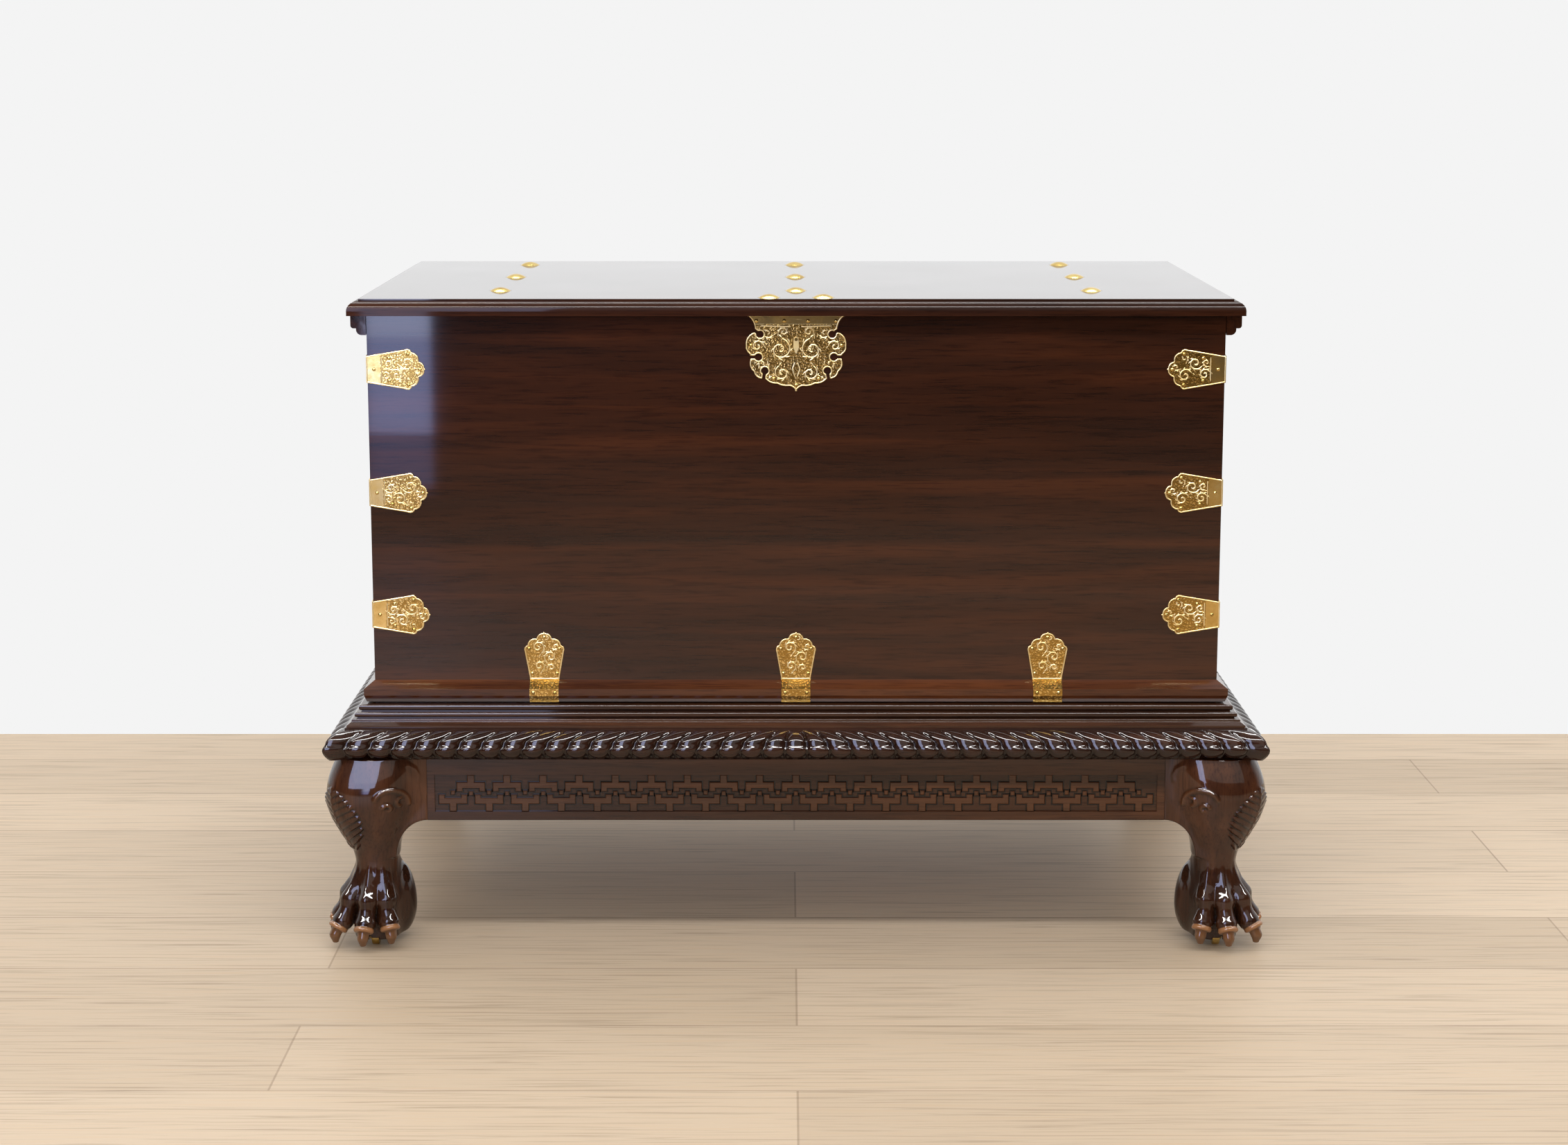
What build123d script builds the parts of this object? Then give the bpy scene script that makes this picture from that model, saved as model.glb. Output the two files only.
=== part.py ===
from build123d import *
from math import cos, radians, sin
import os

os.makedirs("parts", exist_ok=True)

# A lacquered hardwood chest with brass mounts, on a carved stand with cabriole legs and casters.
# Millimetres. The origin is on the floor under the middle of the stand, +Z is up, the lock faces -Y.

# Case: five boards, the bottom one rebated to a tongue that is held in grooves
case_width = 1014.0
case_depth = 554.0
case_height = 468.0
case_board = 20.0
bottom_board_thickness = 15.0
bottom_tongue_thickness = 9.0
bottom_board_lift = 6.0
bottom_groove_depth = 7.0
groove_play = 0.3

# Lid: one panel, moulded on the front and both ends, with a cleat under each end
lid_thickness = 19.0
lid_overhang = 7.8
lid_edge_projection = 12.5
lid_step_height = 2.5
lid_ovolo_radius = 11.0
cleat_gap = 0.8
cleat_width = 18.0
cleat_height = 16.5
cleat_rounding = 3.5
cleat_bead_width = 11.5
cleat_bead_height = 8.0
cleat_bead_radius = 6.5

# Moulding round the foot of the case, with a splay above and below its face
base_moulding_lift = 2.0
base_moulding_projection = 12.0
base_top_splay_height = 9.0
base_face_height = 8.0
base_under_splay_height = 8.0
base_under_splay_setback = 3.0

# Stand: heights from the floor up
claw_clearance = 10.0
leg_height = 229.0
gadroon_height = 36.0
stand_moulding_height = 25.0

# Stand rails: projections are measured outwards from the faces of the case
rail_inset = 27.0
gadroon_projection = 56.5
gadroon_top_projection = 33.0
gadroon_fillet_height = 2.0
gadroon_lower_height = 14.0
gadroon_under_setback = 7.0
step_one_projection = 17.6
step_one_height = 7.0
step_two_projection = 22.2
step_two_height = 6.0
step_three_projection = 25.5
step_three_height = 3.0
step_foot_projection = 31.0
step_foot_height = 2.5
quirk_depth = 3.0
quirk_height = 1.4
bead_fullness = 0.42

# Aprons between the legs, with a sunk panel for the fret, tenoned into the legs
apron_projection = 24.0
apron_thickness = 22.0
apron_height = 80.0
apron_panel_depth = 3.0
apron_top_border = 24.0
apron_bottom_border = 10.5
apron_end_border = 9.0
tenon_length = 24.0
tenon_thickness = 8.0
tenon_shoulder = 12.0
mortise_play = 0.15

# Legs: reaches are measured outwards from the faces of the case, negative ones lie under it
leg_top_inner = -38.0
leg_top_outer = 42.0
leg_top_rounding = 12.0
knee_height = 185.0
knee_inner = -37.0
knee_outer = 55.5
knee_rounding = 26.0
calf_height = 142.0
calf_inner = -28.0
calf_outer = 43.0
calf_rounding = 22.0
ankle_height = 106.0
ankle_inner = -24.5
ankle_outer = 27.5
ankle_rounding = 18.0
paw_height = 60.0
paw_inner = -41.0
paw_outer = 45.0
paw_rounding = 32.0
sole_height = 15.0
sole_inner = -38.0
sole_outer = 43.0
sole_rounding = 30.0
ear_length = 63.0
ear_projection = 26.0
ear_thickness = 44.0
ear_arch_width = 38.5
ear_arch_height = 46.0

# Paws: four toes fanned from inside the front round to the side, each with two knuckles and a claw
paw_centre = 4.0
toe_first = -30.0
toe_spread = 42.0
toe_reach = 45.0
toe_radius = 13.0
toe_height = 27.0
knuckle_reach = 31.0
knuckle_radius = 15.0
knuckle_height = 47.0
claw_reach = 52.0
claw_radius = 5.0
claw_tip_radius = 2.0
claw_length = 15.0

# Casters
recess_radius = 26.0
recess_height = 33.0
socket_plate_radius = 14.0
socket_plate_thickness = 2.5
socket_tube_radius = 5.5
socket_tube_length = 16.0
stem_radius = 3.2
stem_length = 13.0
caster_trail = 9.0
wheel_radius = 11.0
wheel_width = 9.0
wheel_rounding = 1.5
wheel_side_gap = 0.4
horn_cheek_thickness = 2.2
horn_crown_thickness = 3.0
horn_crown_radius = 9.5
horn_eye_radius = 4.4
axle_radius = 2.0
axle_head_radius = 3.2
axle_head_thickness = 1.0
running_gap = 0.06
face_gap = 0.3

# Glue blocks and screws that hold the stand's rails to its aprons
glue_block_length = 70.0
glue_block_size = 20.0
long_block_spacing = 340.0
short_block_spacing = 180.0
screw_radius = 2.5
screw_head_radius = 4.8
screw_head_height = 2.6
screw_length = 70.0
screw_play = 0.05

# Brass straps and their pins
strap_thickness = 1.2
strap_shoulder = 24.3
strap_shoulder_length = 20.5
strap_cusp = 9.2
strap_cusp_length = 8.3
strap_waist_pin = 26.0
corner_strap_length = 69.0
corner_strap_end = 16.0
corner_strap_first = 107.0
corner_strap_pitch = 148.0
corner_strap_rows = 3
base_strap_length = 59.0
base_strap_end = 17.4
base_strap_spacing = 302.5
pin_head_radius = 2.2
pin_head_height = 1.3
pin_shank_radius = 0.8
pin_shank_length = 5.0
pin_hole_depth_play = 0.5

# Lock and link plate
plate_height = 91.0
plate_notch_radius = 4.2
plate_slot_width = 3.4
# half outline of the lock plate: each point is its distance out from the middle and down from the top,
# and the point its arc bulges through on the way there, or nothing for a straight edge
plate_outline = [
    ((58.3, 0.0), None),
    ((48.7, 15.9), (51.2, 7.4)),
    ((48.6, 20.4), None),
    ((59.4, 36.4), (57.2, 26.2)),
    ((54.3, 46.7), (58.4, 42.4)),
    ((54.3, 53.4), None),
    ((50.0, 67.2), (54.4, 61.0)),
    ((41.5, 75.6), (47.4, 72.6)),
    ((35.5, 76.6), None),
    ((22.6, 81.6), (29.8, 80.6)),
    ((8.0, 84.4), (15.6, 84.2)),
    ((0.0, 91.0), (3.0, 86.6)),
]
# round notches in the outline: centre of the notch, and the point where its slot leaves the plate
plate_notches = [
    ((42.6, 23.0), (52.0, 16.2)),
    ((44.5, 50.0), (58.0, 50.0)),
    ((37.0, 66.2), (38.8, 79.0)),
]
keyhole_drop = 38.0
keyhole_radius = 2.4
keyhole_slot_width = 2.2
keyhole_slot_length = 8.0
cover_pin_rise = 9.0
cover_pin_radius = 1.2
cover_pin_head_radius = 2.0
cover_thickness = 1.4
cover_length = 17.0
cover_head_radius = 2.8
cover_body_radius = 3.3
cover_tip_radius = 0.8
lock_case_width = 84.0
lock_case_height = 52.0
lock_case_depth = 13.0
lock_case_wall = 2.0
lock_case_drop = 0.4
lock_bolt_drop = 11.0
lock_bolt_length = 20.0
lock_bolt_height = 9.0
lock_bolt_throw = 12.0
lock_bolt_side_play = 0.3
lock_bolt_play = 0.1
bolt_guide_thickness = 3.0
bolt_tail_width = 6.0
bolt_tail_thickness = 3.0
bolt_tail_drop = 16.0
bolt_foot_length = 15.0
bolt_foot_height = 4.0
tongue_height = 4.0
tongue_thickness = 3.0
tongue_length = 11.5
tongue_rest = 5.5
staple_width = 8.0
staple_thickness = 7.0
staple_depth = 16.0
staple_play = 0.7
link_plate_length = 88.0
link_plate_width = 17.0
link_plate_setback = 10.0
link_stud_spacing = 64.0

# Strap hinges, fixed through the lid by domed bolts
hinge_spacing = 358.5
hinge_strap_length = 478.0
hinge_strap_width = 30.0
hinge_plate_thickness = 2.5
hinge_leaf_length = 62.0
hinge_leaf_clearance = 6.0
knuckle_barrel_radius = 5.0
hinge_pin_radius = 2.4
hinge_pin_head_radius = 3.4
hinge_pin_head_length = 1.6
middle_knuckle_length = 14.0
hinge_stop_length = 11.0
hinge_stop_thickness = 3.0
hinge_back_gap = 0.5
lid_opening = 97.0
housing_play = 0.2
stud_radius = 13.2
stud_height = 4.4
stud_shank_radius = 2.8
stud_seat_depth = 0.4
stud_seat_play = 0.15
stud_from_back = 65.0
stud_pitch = 194.5
studs_per_hinge = 3
nut_radius = 6.5
nut_height = 4.5
leaf_screw_radius = 1.9
leaf_screw_head_radius = 3.8
leaf_screw_head_height = 1.5
leaf_screw_length = 15.0
leaf_screw_pitch = 17.0

# Heights and distances worked out from the sizes
half_width = case_width / 2
half_depth = case_depth / 2
inner_half_width = half_width - case_board
inner_half_depth = half_depth - case_board
leg_top = claw_clearance + leg_height
gadroon_top = leg_top + gadroon_height
stand_top = gadroon_top + stand_moulding_height
rim = stand_top + case_height
lid_top = rim + lid_thickness
mitre_reach = gadroon_projection + case_board
front_plane = Plane(origin=(0, -half_depth, 0), x_dir=(1, 0, 0), z_dir=(0, -1, 0))
back_plane = Plane(origin=(0, half_depth, 0), x_dir=(-1, 0, 0), z_dir=(0, 1, 0))
right_plane = Plane(origin=(half_width, 0, 0), x_dir=(0, 1, 0), z_dir=(1, 0, 0))
left_plane = Plane(origin=(-half_width, 0, 0), x_dir=(0, -1, 0), z_dir=(-1, 0, 0))


def block(x, y, z, mode=Mode.ADD):
    """A box between two limits along each axis."""
    with Locations(((x[0] + x[1]) / 2, (y[0] + y[1]) / 2, (z[0] + z[1]) / 2)):
        Box(x[1] - x[0], y[1] - y[0], z[1] - z[0], mode=mode)


def write(builder, name):
    """Labels a finished piece and writes it."""
    builder.part.label = name
    export_step(builder.part, f"parts/{name}.step")


def write_mirrored(builder, name, plane):
    """Writes the piece of the opposite hand."""
    solid = builder.part.mirror(plane)
    solid.label = name
    export_step(solid, f"parts/{name}.step")


# ------------------------------------------------------------------ places of the small fixings

def strap_pins(length, end_half, waist):
    """Pins of a strap: distance from its plain end, and distance across it."""
    shoulder = strap_shoulder - 6.0
    side = end_half - 2.6
    return [
        (length - 6.6, 0.0),
        (length - strap_shoulder_length, shoulder),
        (length - strap_shoulder_length, -shoulder),
        (waist, side),
        (waist, -side),
    ]


strap_rows = [stand_top + corner_strap_first + row * corner_strap_pitch for row in range(corner_strap_rows)]
corner_band = corner_strap_end
corner_pins = strap_pins(corner_strap_length, corner_strap_end, strap_waist_pin) + [(corner_band / 2, 0.0)]
front_corner_points = [
    (side * (half_width - along), row + across)
    for side in (-1, 1) for row in strap_rows for along, across in corner_pins
]
end_corner_points = [
    (side * (half_depth - along), row + across)
    for side in (-1, 1) for row in strap_rows for along, across in corner_pins
]
base_moulding_low = stand_top + base_moulding_lift
base_face_low = base_moulding_low + base_under_splay_height
base_face_high = base_face_low + base_face_height
base_moulding_high = base_face_high + base_top_splay_height
base_strap_places = (-base_strap_spacing, 0.0, base_strap_spacing)
shield_points = [
    (place + across, base_moulding_high + along)
    for place in base_strap_places
    for along, across in strap_pins(base_strap_length, base_strap_end, corner_band / 2)
]
band_points = [
    (place + side * (base_strap_end - 4.5), (base_face_low + base_face_high) / 2)
    for place in base_strap_places for side in (-1, 1)
]
plate_top = rim - lock_case_drop
plate_pins = ((47.0, 7.0), (14.0, 7.0), (53.5, 36.0), (26.5, 75.5))
plate_points = [(side * across, plate_top - drop) for side in (-1, 1) for across, drop in plate_pins]
plate_points += [(0.0, plate_top - plate_height + 8.0)]
hinge_places = (-hinge_spacing, 0.0, hinge_spacing)
stud_places = [
    (place, half_depth - stud_from_back - row * stud_pitch)
    for place in hinge_places for row in range(studs_per_hinge)
]
link_line = -(half_depth - link_plate_setback)
link_stud_places = [(side * link_stud_spacing / 2, link_line) for side in (-1, 1)]
leaf_screw_heights = [rim - hinge_leaf_length + 8.0 + row * leaf_screw_pitch for row in range(3)]
leaf_screw_points = [(place, height) for place in hinge_places for height in leaf_screw_heights]
pin_hole = pin_shank_radius + screw_play


# ------------------------------------------------------------------ case boards

bottom_low = stand_top + bottom_board_lift
bottom_high = bottom_low + bottom_board_thickness
tongue_high = bottom_low + bottom_tongue_thickness
groove = (bottom_low, tongue_high + groove_play)
groove_half_width = inner_half_width + bottom_groove_depth
groove_half_depth = inner_half_depth + bottom_groove_depth
lock_case_high = rim - lock_case_drop
lock_case_low = lock_case_high - lock_case_height
lock_case_outer = -(inner_half_depth + lock_case_depth)
keyhole_height = rim - keyhole_drop
cover_pivot = keyhole_height + cover_pin_rise


def keyhole(play):
    """A round hole with a slot below it, in a sketch on the front of the case."""
    with Locations((0, keyhole_height)):
        Circle(keyhole_radius + play)
    with Locations((0, keyhole_height - keyhole_slot_length / 2)):
        Rectangle(keyhole_slot_width + 2 * play, keyhole_slot_length + 2 * play)


def strap_end_holes():
    """Holes for the corner straps' pins in the end grain and faces at the two ends of the case."""
    for plane in (right_plane, left_plane):
        with BuildSketch(plane) as holes:
            with Locations(*end_corner_points):
                Circle(pin_hole)
        extrude(holes.sketch, amount=-pin_shank_length, mode=Mode.SUBTRACT)


with BuildPart() as front_board:
    block((-half_width, half_width), (-half_depth, -inner_half_depth), (stand_top, rim))
    groove_y = (-groove_half_depth, -inner_half_depth)
    block((-groove_half_width, groove_half_width), groove_y, groove, Mode.SUBTRACT)
    lock_housing_x = lock_case_width / 2 + groove_play
    block(
        (-lock_housing_x, lock_housing_x),
        (lock_case_outer - groove_play, -inner_half_depth),
        (lock_case_low, rim),
        Mode.SUBTRACT,
    )
    with BuildSketch(front_plane):
        with Locations(*front_corner_points, *shield_points, *plate_points):
            Circle(pin_hole)
    extrude(amount=-pin_shank_length, mode=Mode.SUBTRACT)
    with BuildSketch(front_plane):
        keyhole(face_gap)
    extrude(amount=-case_board, mode=Mode.SUBTRACT)
    with BuildSketch(front_plane):
        with Locations((0, cover_pivot)):
            Circle(cover_pin_radius + screw_play)
    extrude(amount=-pin_shank_length, mode=Mode.SUBTRACT)
    strap_end_holes()
write(front_board, "front_board")

with BuildPart() as back_board:
    block((-half_width, half_width), (inner_half_depth, half_depth), (stand_top, rim))
    groove_y = (inner_half_depth, groove_half_depth)
    block((-groove_half_width, groove_half_width), groove_y, groove, Mode.SUBTRACT)
    with BuildSketch(back_plane):
        with Locations(*front_corner_points):
            Circle(pin_hole)
    extrude(amount=-pin_shank_length, mode=Mode.SUBTRACT)
    with BuildSketch(back_plane):
        with Locations(*leaf_screw_points):
            Circle(leaf_screw_radius + screw_play)
    extrude(amount=-leaf_screw_length, mode=Mode.SUBTRACT)
    strap_end_holes()
write(back_board, "back_board")

with BuildPart() as right_end_board:
    block((inner_half_width, half_width), (-inner_half_depth, inner_half_depth), (stand_top, rim))
    block((inner_half_width, groove_half_width), (-inner_half_depth, inner_half_depth), groove, Mode.SUBTRACT)
    strap_end_holes()
write(right_end_board, "right_end_board")
write_mirrored(right_end_board, "left_end_board", Plane.YZ)

with BuildPart() as bottom_board:
    tongue_x = groove_half_width - groove_play
    tongue_y = groove_half_depth - groove_play
    block((-tongue_x, tongue_x), (-tongue_y, tongue_y), (bottom_low, tongue_high))
    # the field stands above the tongue, just clear of the boards round it
    field_x = inner_half_width - groove_play
    field_y = inner_half_depth - groove_play
    block((-field_x, field_x), (-field_y, field_y), (tongue_high, bottom_high))
write(bottom_board, "bottom_board")


# ------------------------------------------------------------------ mitred frames round the case

def rail(sketch_section, side):
    """One length of a mitred frame, from a section drawn outwards from the face of the case."""
    if side == "front":
        section_plane = Plane(origin=(0, -half_depth, 0), x_dir=(0, -1, 0), z_dir=(-1, 0, 0))
        half_length = half_width + mitre_reach
        mitres = [((half_width, -half_depth, 0), (1, 1, 0)), ((-half_width, -half_depth, 0), (-1, 1, 0))]
    else:
        section_plane = Plane(origin=(half_width, 0, 0), x_dir=(1, 0, 0), z_dir=(0, -1, 0))
        half_length = half_depth + mitre_reach
        mitres = [((half_width, -half_depth, 0), (-1, -1, 0)), ((half_width, half_depth, 0), (-1, 1, 0))]
    with BuildSketch(section_plane) as section:
        sketch_section()
    extrude(section.sketch, amount=half_length, both=True)
    for corner, outwards in mitres:
        split(bisect_by=Plane(origin=corner, z_dir=outwards), keep=Keep.BOTTOM)


def base_section():
    """The base moulding: a face with a splay above it and an undercut splay below it."""
    with BuildLine() as outline:
        Polyline(
            (0, base_moulding_low),
            (base_moulding_projection - base_under_splay_setback, base_moulding_low),
            (base_moulding_projection, base_face_low),
            (base_moulding_projection, base_face_high),
            (0, base_moulding_high),
            close=True,
        )
    make_face(outline.edges())


def step_section():
    """The stand's upper moulding: three stepped beads with quirks between them, over a cove."""
    one_low = stand_top - step_one_height
    two_high = one_low - quirk_height
    two_low = two_high - step_two_height
    three_high = two_low - quirk_height
    three_low = three_high - step_three_height
    with BuildLine() as outline:
        Polyline(
            (step_foot_projection, gadroon_top),
            (-rail_inset, gadroon_top),
            (-rail_inset, stand_top),
            (step_one_projection, stand_top),
            (step_one_projection, one_low),
            (step_one_projection - quirk_depth, one_low),
            (step_one_projection - quirk_depth, two_high),
            (step_two_projection, two_high),
            (step_two_projection, two_low),
            (step_two_projection - quirk_depth, two_low),
            (step_two_projection - quirk_depth, three_high),
            (step_three_projection, three_high),
            (step_three_projection, three_low),
            (step_foot_projection, gadroon_top + step_foot_height),
            close=True,
        )
    make_face(outline.edges())
    beads = [
        (step_one_projection, stand_top, one_low),
        (step_two_projection, two_high, two_low),
        (step_three_projection, three_high, three_low),
    ]
    for projection, high, low in beads:
        nose = [v for v in vertices() if abs(v.X - projection) < 0.01 and low - 0.01 < v.Y < high + 0.01]
        fillet(nose, (high - low) * bead_fullness)


def gadroon_section():
    """The envelope of the gadrooned edge: a full quarter round over a tucked-in lower edge."""
    widest = leg_top + gadroon_lower_height
    upper_height = gadroon_height - gadroon_fillet_height - gadroon_lower_height
    with BuildLine() as outline:
        Polyline(
            (gadroon_projection - gadroon_under_setback, leg_top),
            (-rail_inset, leg_top),
            (-rail_inset, gadroon_top),
            (gadroon_top_projection, gadroon_top),
            (gadroon_top_projection, gadroon_top - gadroon_fillet_height),
        )
        upper_width = gadroon_projection - gadroon_top_projection
        EllipticalCenterArc((gadroon_top_projection, widest), upper_width, upper_height, start_angle=0)
        EllipticalCenterArc(
            (gadroon_projection - gadroon_under_setback, widest),
            gadroon_under_setback,
            gadroon_lower_height,
            start_angle=270,
        )
    make_face(outline.edges())


block_step = glue_block_size / 2
front_screw_line = half_depth + apron_projection - apron_thickness - block_step
end_screw_line = half_width + apron_projection - apron_thickness - block_step
long_block_places = (-long_block_spacing, 0, long_block_spacing)
short_block_places = (-short_block_spacing / 2, short_block_spacing / 2)
long_screws = [(x, side * front_screw_line) for side in (-1, 1) for x in long_block_places]
short_screws = [(side * end_screw_line, y) for side in (-1, 1) for y in short_block_places]
screw_low = leg_top - glue_block_size


def screw_holes():
    """Clearance for the screws that come up through the glue blocks."""
    with BuildSketch(Plane.XY.offset(screw_low)) as holes:
        with Locations(*long_screws, *short_screws):
            Circle(screw_radius + screw_play)
    extrude(holes.sketch, amount=screw_length, mode=Mode.SUBTRACT)


with BuildPart() as base_moulding_front:
    rail(base_section, "front")
    with BuildSketch(front_plane.offset(base_moulding_projection)):
        with Locations(*band_points):
            Circle(pin_hole)
    extrude(amount=-pin_shank_length, mode=Mode.SUBTRACT)
write(base_moulding_front, "base_moulding_front")

with BuildPart() as base_moulding_back:
    rail(base_section, "front")
    mirror(about=Plane.XZ, mode=Mode.REPLACE)
write(base_moulding_back, "base_moulding_back")

with BuildPart() as base_moulding_right:
    rail(base_section, "right")
write(base_moulding_right, "base_moulding_right")
write_mirrored(base_moulding_right, "base_moulding_left", Plane.YZ)

for frame_name, section in (("stepped_moulding", step_section), ("gadroon_rail", gadroon_section)):
    for side, opposite, plane in (("front", "back", Plane.XZ), ("right", "left", Plane.YZ)):
        with BuildPart() as frame_rail:
            rail(section, side)
            screw_holes()
        write(frame_rail, f"{frame_name}_{side}")
        write_mirrored(frame_rail, f"{frame_name}_{opposite}", plane)


# ------------------------------------------------------------------ aprons, tenoned into the legs

apron_low = leg_top - apron_height
apron_outer = apron_projection
apron_inner = apron_projection - apron_thickness
tenon_outer = apron_outer - (apron_thickness - tenon_thickness) / 2
tenon_inner = tenon_outer - tenon_thickness
tenon_z = (apron_low + tenon_shoulder, leg_top - tenon_shoulder)
panel_z = (apron_low + apron_bottom_border, leg_top - apron_top_border)

with BuildPart() as apron_front:
    apron_half = half_width - ear_length
    apron_y = (-half_depth - apron_outer, -half_depth - apron_inner)
    block((-apron_half, apron_half), apron_y, (apron_low, leg_top))
    tenon_half = apron_half + tenon_length
    block((-tenon_half, tenon_half), (-half_depth - tenon_outer, -half_depth - tenon_inner), tenon_z)
    panel_half = apron_half - apron_end_border
    panel_y = (-half_depth - apron_outer, -half_depth - apron_outer + apron_panel_depth)
    block((-panel_half, panel_half), panel_y, panel_z, Mode.SUBTRACT)
write(apron_front, "apron_front")
write_mirrored(apron_front, "apron_back", Plane.XZ)

with BuildPart() as apron_right:
    apron_half = half_depth - ear_length
    apron_x = (half_width + apron_inner, half_width + apron_outer)
    block(apron_x, (-apron_half, apron_half), (apron_low, leg_top))
    tenon_half = apron_half + tenon_length
    block((half_width + tenon_inner, half_width + tenon_outer), (-tenon_half, tenon_half), tenon_z)
    panel_half = apron_half - apron_end_border
    panel_x = (half_width + apron_outer - apron_panel_depth, half_width + apron_outer)
    block(panel_x, (-panel_half, panel_half), panel_z, Mode.SUBTRACT)
write(apron_right, "apron_right")
write_mirrored(apron_right, "apron_left", Plane.YZ)

with BuildPart() as glue_blocks:
    for x, y in long_screws:
        block(
            (x - glue_block_length / 2, x + glue_block_length / 2),
            (y - block_step, y + block_step),
            (screw_low, leg_top),
        )
    for x, y in short_screws:
        block(
            (x - block_step, x + block_step),
            (y - glue_block_length / 2, y + glue_block_length / 2),
            (screw_low, leg_top),
        )
    screw_holes()
write(glue_blocks, "glue_blocks")

with BuildPart() as stand_screws:
    with BuildSketch(Plane.XY.offset(screw_low)):
        with Locations(*long_screws, *short_screws):
            Circle(screw_radius)
    extrude(amount=screw_length)
    with BuildSketch(Plane.XY.offset(screw_low)):
        with Locations(*long_screws, *short_screws):
            Circle(screw_head_radius)
    extrude(amount=-screw_head_height)
write(stand_screws, "stand_screws")


# ------------------------------------------------------------------ legs

def leg_section(height, inner, outer, rounding):
    """A rounded square across the leg, between its inner and outer reach."""
    middle = (inner + outer) / 2
    with BuildSketch(Plane.XY.offset(height)) as section:
        with Locations((half_width + middle, -half_depth - middle)):
            RectangleRounded(outer - inner, outer - inner, rounding)
    return section.sketch


def ear_section():
    """The bracket beside the knee, drawn inwards from the corner of the case: x inwards, y up."""
    arch_end = ear_length - ear_arch_width
    with BuildLine() as outline:
        Polyline(
            (arch_end, apron_low - ear_arch_height),
            (arch_end - 12.0, apron_low - ear_arch_height),
            (arch_end - 12.0, leg_top),
            (ear_length, leg_top),
            (ear_length, apron_low),
        )
        EllipticalCenterArc(
            (ear_length, apron_low - ear_arch_height), ear_arch_width, ear_arch_height, start_angle=90
        )
    make_face(outline.edges())


paw_x = half_width + paw_centre
paw_y = -half_depth - paw_centre
toe_angles = [toe_first + toe * toe_spread for toe in range(4)]

with BuildPart() as leg_front_right:
    sections = [
        leg_section(leg_top, leg_top_inner, leg_top_outer, leg_top_rounding),
        leg_section(knee_height, knee_inner, knee_outer, knee_rounding),
        leg_section(calf_height, calf_inner, calf_outer, calf_rounding),
        leg_section(ankle_height, ankle_inner, ankle_outer, ankle_rounding),
        leg_section(paw_height, paw_inner, paw_outer, paw_rounding),
        leg_section(sole_height, sole_inner, sole_outer, sole_rounding),
    ]
    loft(sections)
    ear_y = -half_depth - ear_projection
    with BuildSketch(Plane(origin=(half_width, ear_y, 0), x_dir=(-1, 0, 0), z_dir=(0, 1, 0))):
        ear_section()
    extrude(amount=ear_thickness)
    ear_x = half_width + ear_projection
    with BuildSketch(Plane(origin=(ear_x, -half_depth, 0), x_dir=(0, 1, 0), z_dir=(1, 0, 0))):
        ear_section()
    extrude(amount=-ear_thickness)
    for angle in toe_angles:
        out_x = sin(radians(angle))
        out_y = -cos(radians(angle))
        with Locations((paw_x + toe_reach * out_x, paw_y + toe_reach * out_y, toe_height)):
            Sphere(toe_radius)
        with Locations((paw_x + knuckle_reach * out_x, paw_y + knuckle_reach * out_y, knuckle_height)):
            Sphere(knuckle_radius)
        claw_middle = claw_clearance + claw_length / 2
        with Locations((paw_x + claw_reach * out_x, paw_y + claw_reach * out_y, claw_middle)):
            Cone(claw_tip_radius, claw_radius, claw_length)
    mortise_z = (tenon_z[0] - mortise_play, tenon_z[1] + mortise_play)
    mortise_end = ear_length - tenon_length - mortise_play
    block(
        (half_width - ear_length, half_width - mortise_end),
        (-half_depth - tenon_outer - mortise_play, -half_depth - tenon_inner + mortise_play),
        mortise_z,
        Mode.SUBTRACT,
    )
    block(
        (half_width + tenon_inner - mortise_play, half_width + tenon_outer + mortise_play),
        (-half_depth + mortise_end, -half_depth + ear_length),
        mortise_z,
        Mode.SUBTRACT,
    )
    with BuildSketch(Plane.XY):
        with Locations((paw_x, paw_y)):
            Circle(recess_radius)
    extrude(amount=recess_height, mode=Mode.SUBTRACT)
    with BuildSketch(Plane.XY.offset(recess_height)):
        with Locations((paw_x, paw_y)):
            Circle(socket_tube_radius + running_gap)
    extrude(amount=socket_tube_length + face_gap, mode=Mode.SUBTRACT)
write(leg_front_right, "leg_front_right")
write_mirrored(leg_front_right, "leg_front_left", Plane.YZ)
write_mirrored(leg_front_right, "leg_back_right", Plane.XZ)
with BuildPart() as leg_back_left:
    add(leg_front_right.part.mirror(Plane.XZ))
    mirror(about=Plane.YZ, mode=Mode.REPLACE)
write(leg_back_left, "leg_back_left")


# ------------------------------------------------------------------ casters

plate_low = recess_height - socket_plate_thickness
crown_high = plate_low - face_gap
crown_low = crown_high - horn_crown_thickness
cheek_inner = wheel_width / 2 + wheel_side_gap
cheek_outer = cheek_inner + horn_cheek_thickness
caster_places = {
    "front_right": (paw_x, paw_y),
    "front_left": (-paw_x, paw_y),
    "back_right": (paw_x, -paw_y),
    "back_left": (-paw_x, -paw_y),
}

with BuildPart() as caster_sockets:
    with BuildSketch(Plane.XY.offset(plate_low)):
        with Locations(*caster_places.values()):
            Circle(socket_plate_radius)
    extrude(amount=socket_plate_thickness)
    with BuildSketch(Plane.XY.offset(recess_height)):
        with Locations(*caster_places.values()):
            Circle(socket_tube_radius)
    extrude(amount=socket_tube_length)
    with BuildSketch(Plane.XY.offset(plate_low)):
        with Locations(*caster_places.values()):
            Circle(stem_radius + running_gap)
    extrude(amount=stem_length + face_gap, mode=Mode.SUBTRACT)
write(caster_sockets, "caster_sockets")

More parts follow.
